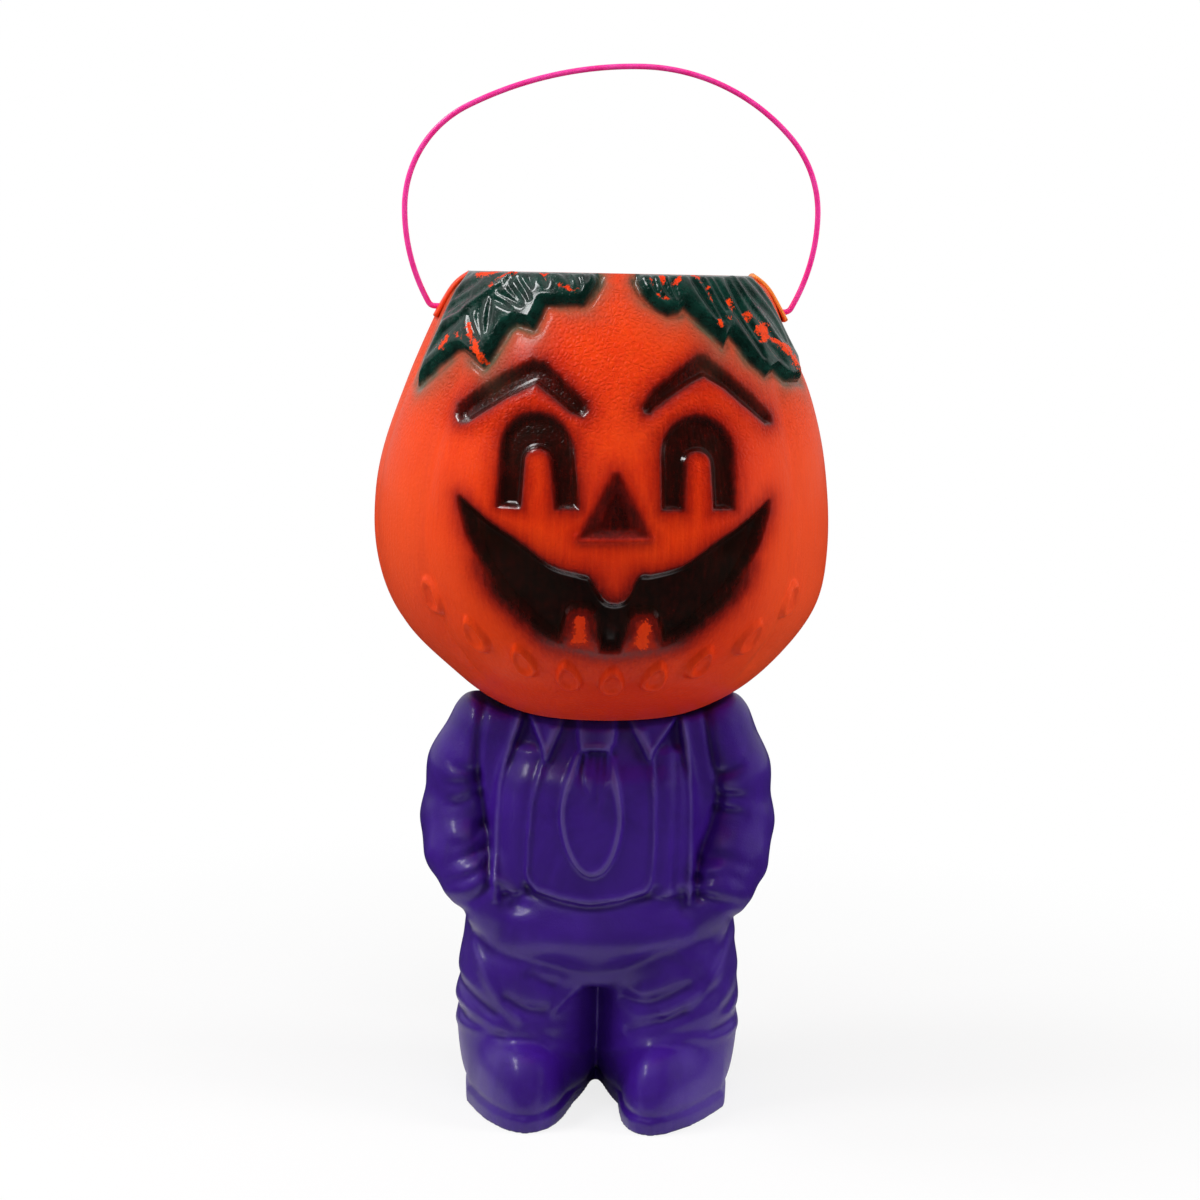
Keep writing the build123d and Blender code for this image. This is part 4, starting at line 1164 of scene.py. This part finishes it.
# line, height and width before it is spread
RIDGE_SPREAD, GROOVE_SPREAD = 1.2, 1.35
RIDGES = [
    ([(-36.9, 84.8), (-33.5, 85.4), (-30, 82.9), (-28.7, 79.9), (-30.8, 77.9)], 1.0, 1.1),
    ([(25.7, 81.2), (28.2, 84.1), (31.6, 84.4), (33.6, 82.2)], 1.0, 1.1),
    ([(-45.6, 69), (-41.4, 56), (-34.9, 44), (-26.5, 36)], 1.2, 1.7),
    ([(49.6, 62), (44.8, 51.6), (35, 43.6), (25.4, 38.6)], 1.1, 1.7),
    ([(-50, 36.6), (-34.8, 33.6), (-23.1, 33.2), (-7.5, 30.2)], 0.6, 2.2),
    ([(-14.8, 38.2), (-9.9, 42.6), (-5.0, 46)], 0.8, 1.5),
    ([(9.0, 43.4), (19.4, 46.4), (33.5, 52.8)], 0.6, 2.2),
    ([(11.5, 31.0), (27.6, 33.8), (42.9, 38.4), (53, 43.4)], 0.6, 2.2),
    ([(-50, 27.4), (-38.3, 29.8), (-30.5, 31), (-20.5, 30.4), (-11.1, 24.6), (-3, 20)], 0.7, 1.5),
    ([(3, 20), (9.8, 23.4), (19.9, 28.6), (33.7, 29.8), (43, 28), (53, 27.4)], 0.7, 1.5),
]
UNDER_BELLY = [
    (-47, 72), (-42.6, 62.4), (-34.6, 58.2), (-20.8, 56), (-8.5, 53.8), (2.3, 52.8), (13.7, 56.4),
    (26.6, 61.2), (38, 63.9), (49, 72),
]
GROOVES = [
    (UNDER_BELLY, 1.3, 2.4), ([(-53, 45), (-43.2, 41), (-35.3, 37)], 1.4, 1.7),
    ([(-30.5, 42.4), (-23, 39.2), (-16.4, 38.4)], 1.2, 1.6),
    ([(-21.5, 51.4), (-19, 50.2), (-14.4, 48.2)], 1.5, 1.8), ([(-46, 31.8), (-32, 28.6)], 0.8, 1.4),
    ([(11.5, 43.6), (20.2, 42.4), (33.6, 48.4)], 1.2, 1.7),
    ([(13.6, 31.6), (23.5, 35.3), (32.4, 39.6)], 1.2, 1.6), ([(55, 46), (48.3, 38.3)], 1.3, 1.8),
    ([(28, 57.6), (36, 52.6), (42, 46)], 0.8, 2.2), ([(54, 33), (44, 31)], 1.0, 1.8),
    ([(-54, 33), (-47, 33.5)], 1.0, 1.5),
]
clothes += sum(stroke(line, height, width * RIDGE_SPREAD) for line, height, width in RIDGES)
clothes += sum(stroke(line, -depth, width * GROOVE_SPREAD) for line, depth, width in GROOVES)
print("folds", len(SLEEVE_FOLDS), "ridges", len(RIDGES), "grooves", len(GROOVES))

# %% [markdown]
# The back can't be seen in the photograph. It gets what such a jacket and trousers would have: the sleeve
# seams, a jacket hem with a vent, a seam down the seat and a few folds at the knees.

# %% Back relief
SLEEVE_SEAM = [(40, 150), (42.5, 126), (41, 104), (38, 88)]
TROUSER_HEM = [(50, 22), (25, 19), (4, 22)]
PAIRED_FOLDS = [
    [(40, 62), (26, 55), (8, 54)], [(62, 118), (52, 116), (44, 118)], [(62, 106), (50, 109), (43, 112)],
]
SINGLE_FOLDS = [
    [(-50, 45), (-36, 40), (-18, 43)], [(-50, 33), (-30, 29), (-12, 33)], [(50, 46), (34, 39), (16, 42)],
    [(50, 32), (32, 28), (13, 31)], [(-30, 92), (-16, 86), (-4, 88)], [(30, 94), (18, 87), (5, 89)],
]
HEM_STEP, HEM_WAVE, HEM_LEVELS, HEM_END = 1.6, 1.2, (72.6, 75.0), 46


def both_sides(lines):
    """Lines and their mirror images."""
    return [*lines, *([(-x, z) for x, z in line] for line in lines)]


BACK_SEAMS = [
    (both_sides([SLEEVE_SEAM]), -1.8, 2.0),
    ([[(0, 73), (0.4, 84), (0, 96)]], -1.5, 1.0, 1.0, 0.3),
    ([[(0, 96), (0, 150)]], -0.5, 0.9),
    ([[(0, 72), (0, 60), (0, 40)]], -1.3, 1.4),
    (SINGLE_FOLDS + both_sides(PAIRED_FOLDS), -1.1, 2.0, 0.9, 0.6),
    (both_sides([TROUSER_HEM]), 1.0, 1.6),
]
hem = smooth_step(sheet_z + HEM_WAVE * np.cos(sheet_x / 16), *HEM_LEVELS)
behind = strokes(BACK_SEAMS) + HEM_STEP * hem * smooth_step(HEM_END - np.abs(sheet_x), 0, 6)
before_share = smooth_step(-clay_y, -12, 6)[None, :, None].astype(np.float32)
behind_share = smooth_step(clay_y, 12, 20)[None, :, None].astype(np.float32)
body = body - clothes[:, None, :].astype(np.float32) * before_share
body = body - behind[:, None, :].astype(np.float32) * behind_share
print("back folds", len(SINGLE_FOLDS) + 2 * len(PAIRED_FOLDS))

# %% [markdown]
# ## Seat, neck and floor
#
# The pail rests in a shallow dish on the shoulders and turns on a round neck. A bead round the neck snapped
# through the hole in the pail's floor and holds it down, and the small hole on top is where the air was blown
# in. The dish ends below the raised seeds, so that they pass over the shoulders. A short blur over the
# numbers gives the whole figure the soft edges of a blow moulding.

# %% Seat and neck
NECK_RADIUS, BEAD_RADIUS, BEAD_LEVEL, NECK_LEVEL, BLOW_RADIUS = 16.95, 1.5, 147.9, 152.4, 3.5
SEAT_ROOM, SEAT_ROUND, NECK_MIDDLE, BLOW_DEPTH, NARROW_BAND = 0.7, 4.0, 140, 9, 3.0
from_axis = np.sqrt(clay_x[:, None, None] ** 2 + Y**2)
bowl = np.sqrt((np.maximum(from_axis - LOWER_CENTRE[0], 0)) ** 2 + (Z - BELLY) ** 2) - LOWER_RADIUS
bowl = np.maximum(bowl, SEAT - Z)
body = -merge(-body, bowl - SEAT_ROOM, SEAT_ROUND)
for axis in range(3):
    body = 0.64 * body + 0.18 * (np.roll(body, 1, axis) + np.roll(body, -1, axis))
post = np.maximum(from_axis - NECK_RADIUS, np.abs(Z - NECK_MIDDLE) - (NECK_LEVEL - NECK_MIDDLE))
bead = np.sqrt((from_axis - NECK_RADIUS) ** 2 + (Z - BEAD_LEVEL) ** 2) - BEAD_RADIUS
blow_hole = np.maximum(from_axis - BLOW_RADIUS, NECK_LEVEL - BLOW_DEPTH - Z)
neck = np.maximum(merge(post, bead, 0.6), -blow_hole)
body = np.maximum(np.minimum(body, neck), -Z)
grid = openvdb.FloatGrid(NARROW_BAND)
grid.copyFromArray(np.clip(body, -NARROW_BAND, NARROW_BAND).astype(np.float32))
clay_points, clay_quads = grid.convertToQuads(isovalue=0.0)
clay_points = clay_points * VOXEL + np.array(CLAY_LOW)
clay_points[:, 2] = np.maximum(clay_points[:, 2], 0)
print("figure box", clay_points.min(0).round(1), clay_points.max(0).round(1))

# %% [markdown]
# ## Violet plastic
#
# The figure is dyed right through, so its colour hardly varies, but the plastic has a satin skin with faint
# cloudy streaks. The ridges of the clothes are painted paler, as painted highlight and wear, and the grooves
# are painted darker, as painted shade. How far a point of the relief stands above its surroundings is the
# sheet minus a blurred copy of it, and each point of the mesh keeps that number. Where the pail turns on it,
# the dish is rougher and has less coat, and it is painted darker as painted shade under the head. The fine
# mould grain goes into the bump.

# %% Violet finish
VIOLET, VIOLET_DEEP = colour(62, 22, 138), colour(50, 13, 116)
# the second pair are painted colours: a paler violet for painted highlight and wear on ridges, and a darker
# one for painted shade
VIOLET_RIDGE_HIGHLIGHT_AND_WEAR, VIOLET_PAINTED_SHADE = colour(112, 96, 160), colour(28, 3, 74)
BLUR_PASSES, BLUR_REACH = 6, 2
mean = clothes
for _ in range(BLUR_PASSES):
    for axis in range(2):
        mean = 0.34 * mean + 0.33 * (np.roll(mean, BLUR_REACH, axis) + np.roll(mean, -BLUR_REACH, axis))
stands = clothes - mean
at_x, at_z = ((clay_points[:, k] - CLAY_LOW[k]) / VOXEL for k in (0, 2))
i, k = at_x.astype(int), at_z.astype(int)
u, v = at_x - i, at_z - k
left_of = (1 - v) * stands[i, k] + v * stands[i, k + 1]
right_of = (1 - v) * stands[i + 1, k] + v * stands[i + 1, k + 1]
ridge_light_groove_shade = (1 - u) * left_of + u * right_of
# this relief height drives painted highlight on the ridges and painted shade in the grooves, on the front
# only
ridge_light_groove_shade *= smooth_step(-clay_points[:, 1], -8, 6)
# the dish under the head: made rougher where the pail turns on it, and painted darker as painted shade under
# the head
from_neck = np.hypot(clay_points[:, 0], clay_points[:, 1])
above_dish = np.hypot(np.maximum(from_neck - LOWER_CENTRE[0], 0), clay_points[:, 2] - BELLY) - LOWER_RADIUS
dish_dull_and_shade = smooth_step(2.6 - above_dish, 0, 1.2)
print("relief stands", ridge_light_groove_shade.min().round(2), "to", ridge_light_groove_shade.max().round(2), "mm above its surroundings")


def violet_finish():
    f = material("violet_plastic")
    place = f.place()
    cloud = f.noise(place, 35, 4, 0.6, 0.6)
    ridge_light_groove_shade_at = f.stored("ridge_light_groove_shade")
    base = f.mix(f.ramp(cloud, 0.3, 0.72), VIOLET_DEEP, VIOLET)
    # painted shade: the grooves of the clothes are painted darker
    base = f.mix(f.ramp(ridge_light_groove_shade_at, -0.2, -1.4) * 0.7, base, VIOLET_PAINTED_SHADE)
    # painted highlight and wear: the ridges of the clothes are painted paler
    base = f.mix(f.ramp(ridge_light_groove_shade_at, 0.25, 1.4) * (0.1 + cloud * 0.6), base, VIOLET_RIDGE_HIGHLIGHT_AND_WEAR)
    polish = f.noise(place, 60, 3, 0.55)
    grain = f.noise(place, 1300, 4, 0.7, 0.5)
    dish_dull_and_shade_at = f.stored("dish_dull_and_shade")
    # painted shade: the dish under the head is painted darker; its rougher skin with less coat is wear
    base = f.mix(dish_dull_and_shade_at * 0.6, base, VIOLET_PAINTED_SHADE)
    rough = 0.42 + (polish - 0.5) * 0.16 + (grain - 0.5) * 0.08 + dish_dull_and_shade_at * 0.5
    shine = (0.4 + (polish - 0.5) * 0.5) * (1 - dish_dull_and_shade_at)
    return f.surface(
        Base_Color=base, Roughness=rough, Normal=f.bump(grain, 0.00022, 0.7), Coat_Weight=shine,
        Coat_Roughness=0.22, IOR=1.5, Specular_IOR_Level=0.3,
    )


figure = add_piece(
    "figure", clay_points, outward(clay_points, clay_quads), violet_finish(), "figure"
)
store(figure, "ridge_light_groove_shade", ridge_light_groove_shade)
store(figure, "dish_dull_and_shade", dish_dull_and_shade)
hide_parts("figure_body")

# %% [markdown]
# ## The strand
#
# The handle is one plastic strand, bent square at both ends so that it goes through the tabs, and melted into
# a round stop behind the wall. Its line is drawn with arcs that meet without a corner, as in the solid. A
# curve with a bevel would do, but a tube of rings makes it easy to swell the ends into the stops.

# %% Strand
STRAND_RADIUS, PIVOT, ELBOW_RADIUS, STOP_RADIUS, STOP_GAP = 1.0, 287.0, 2.6, 2.6, 1.2
STAND_OFF = {-1: 1.5, 1: 2.2}
STRAND_RING, TIP_SQUARED = 16, 0.02
BOW_OUT, BOW_RISE, BOW_RADIUS, CROWN_RISE, CROWN_SHIFT = 11.0, 34.5, 40.0, 85.0, 10.0


def wall_radius(height, inset):
    reach = TOP_RADIUS - inset
    return TOP_CENTRE[0] + reach * math.cos(math.asin((height - TOP_CENTRE[1]) / reach))


def half_strand(side):
    """Points from the stop over the elbow and the bow to the crown, for one side."""
    stand = wall_radius(PIVOT, 0) + STAND_OFF[side]
    inner_end = wall_radius(PIVOT + STOP_RADIUS, PAIL_WALL) - STOP_GAP - STOP_RADIUS
    bow_level, crown_level = PIVOT + BOW_RISE, PIVOT + CROWN_RISE
    bow = stand + BOW_OUT
    drop = BOW_RISE - ELBOW_RADIUS
    side_radius = (BOW_OUT**2 + drop**2 - ELBOW_RADIUS**2) / (2 * (BOW_OUT - ELBOW_RADIUS))
    elbow = np.array([stand, PIVOT + ELBOW_RADIUS])
    side_middle = np.array([bow - side_radius, bow_level])
    tip = math.atan2(elbow[1] - side_middle[1], elbow[0] - side_middle[0])
    across, up = bow - side * CROWN_SHIFT, crown_level - bow_level
    crown_radius = (across**2 + up**2 - 2 * across * BOW_RADIUS) / (2 * (up - BOW_RADIUS))
    bow_middle = np.array([bow - BOW_RADIUS, bow_level])
    crown_middle = np.array([side * CROWN_SHIFT, crown_level - crown_radius])
    bend = math.atan2(bow_middle[1] - crown_middle[1], bow_middle[0] - crown_middle[0])
    run = np.arange(inner_end - STOP_RADIUS, stand, 0.5)
    pin = np.column_stack([run, np.full(len(run), PIVOT)])
    line = np.vstack([
        pin,
        arc_run(elbow, ELBOW_RADIUS, -math.pi / 2, tip, 0.5),
        arc_run(side_middle, side_radius, tip, 0, 1.5),
        arc_run(bow_middle, BOW_RADIUS, 0, bend, 1.5),
        arc_run(crown_middle, crown_radius, bend, math.pi / 2, 1.5),
    ])
    return line * np.array([side, 1]), side * inner_end


left_line, left_stop = half_strand(-1)
right_line, right_stop = half_strand(1)
strand_line = np.vstack([left_line, [[CROWN_SHIFT, PIVOT + CROWN_RISE]], right_line[::-1]])
tangent = np.gradient(strand_line, axis=0)
tangent /= np.linalg.norm(tangent, axis=1)[:, None]
around = np.linspace(0, 2 * math.pi, STRAND_RING, endpoint=False)
rings = []
for (x, z), (tx, tz) in zip(strand_line, tangent):
    swell = STRAND_RADIUS
    if abs(z - PIVOT) < 0.01:
        off = min(abs(x - left_stop), abs(x - right_stop))
        ball = math.sqrt(max(STOP_RADIUS**2 - off**2, TIP_SQUARED))
        swell = ball if abs(x) < abs(left_stop) else max(swell, ball)
    rings.append(np.column_stack([
        x - tz * swell * np.cos(around), swell * np.sin(around), z + tx * swell * np.cos(around)
    ]))
strand_rings = turned(np.array(rings) + np.array([TOP_SHIFT, 0, 0]))


def strand_finish():
    f = material("pink_plastic")
    place = f.place()
    cloud = f.noise(place, 160, 3, 0.6)
    base = f.mix(f.ramp(cloud, 0.3, 0.7), colour(250, 40, 146), colour(255, 66, 166))
    return f.surface(Base_Color=base, Roughness=0.3 + (cloud - 0.5) * 0.12, IOR=1.5)


flat = strand_rings.reshape(-1, 3)
quads = outward(flat, capped_tube(strand_rings))
strand = add_piece("strand", flat, quads, strand_finish(), "handle")
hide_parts("handle_strand")
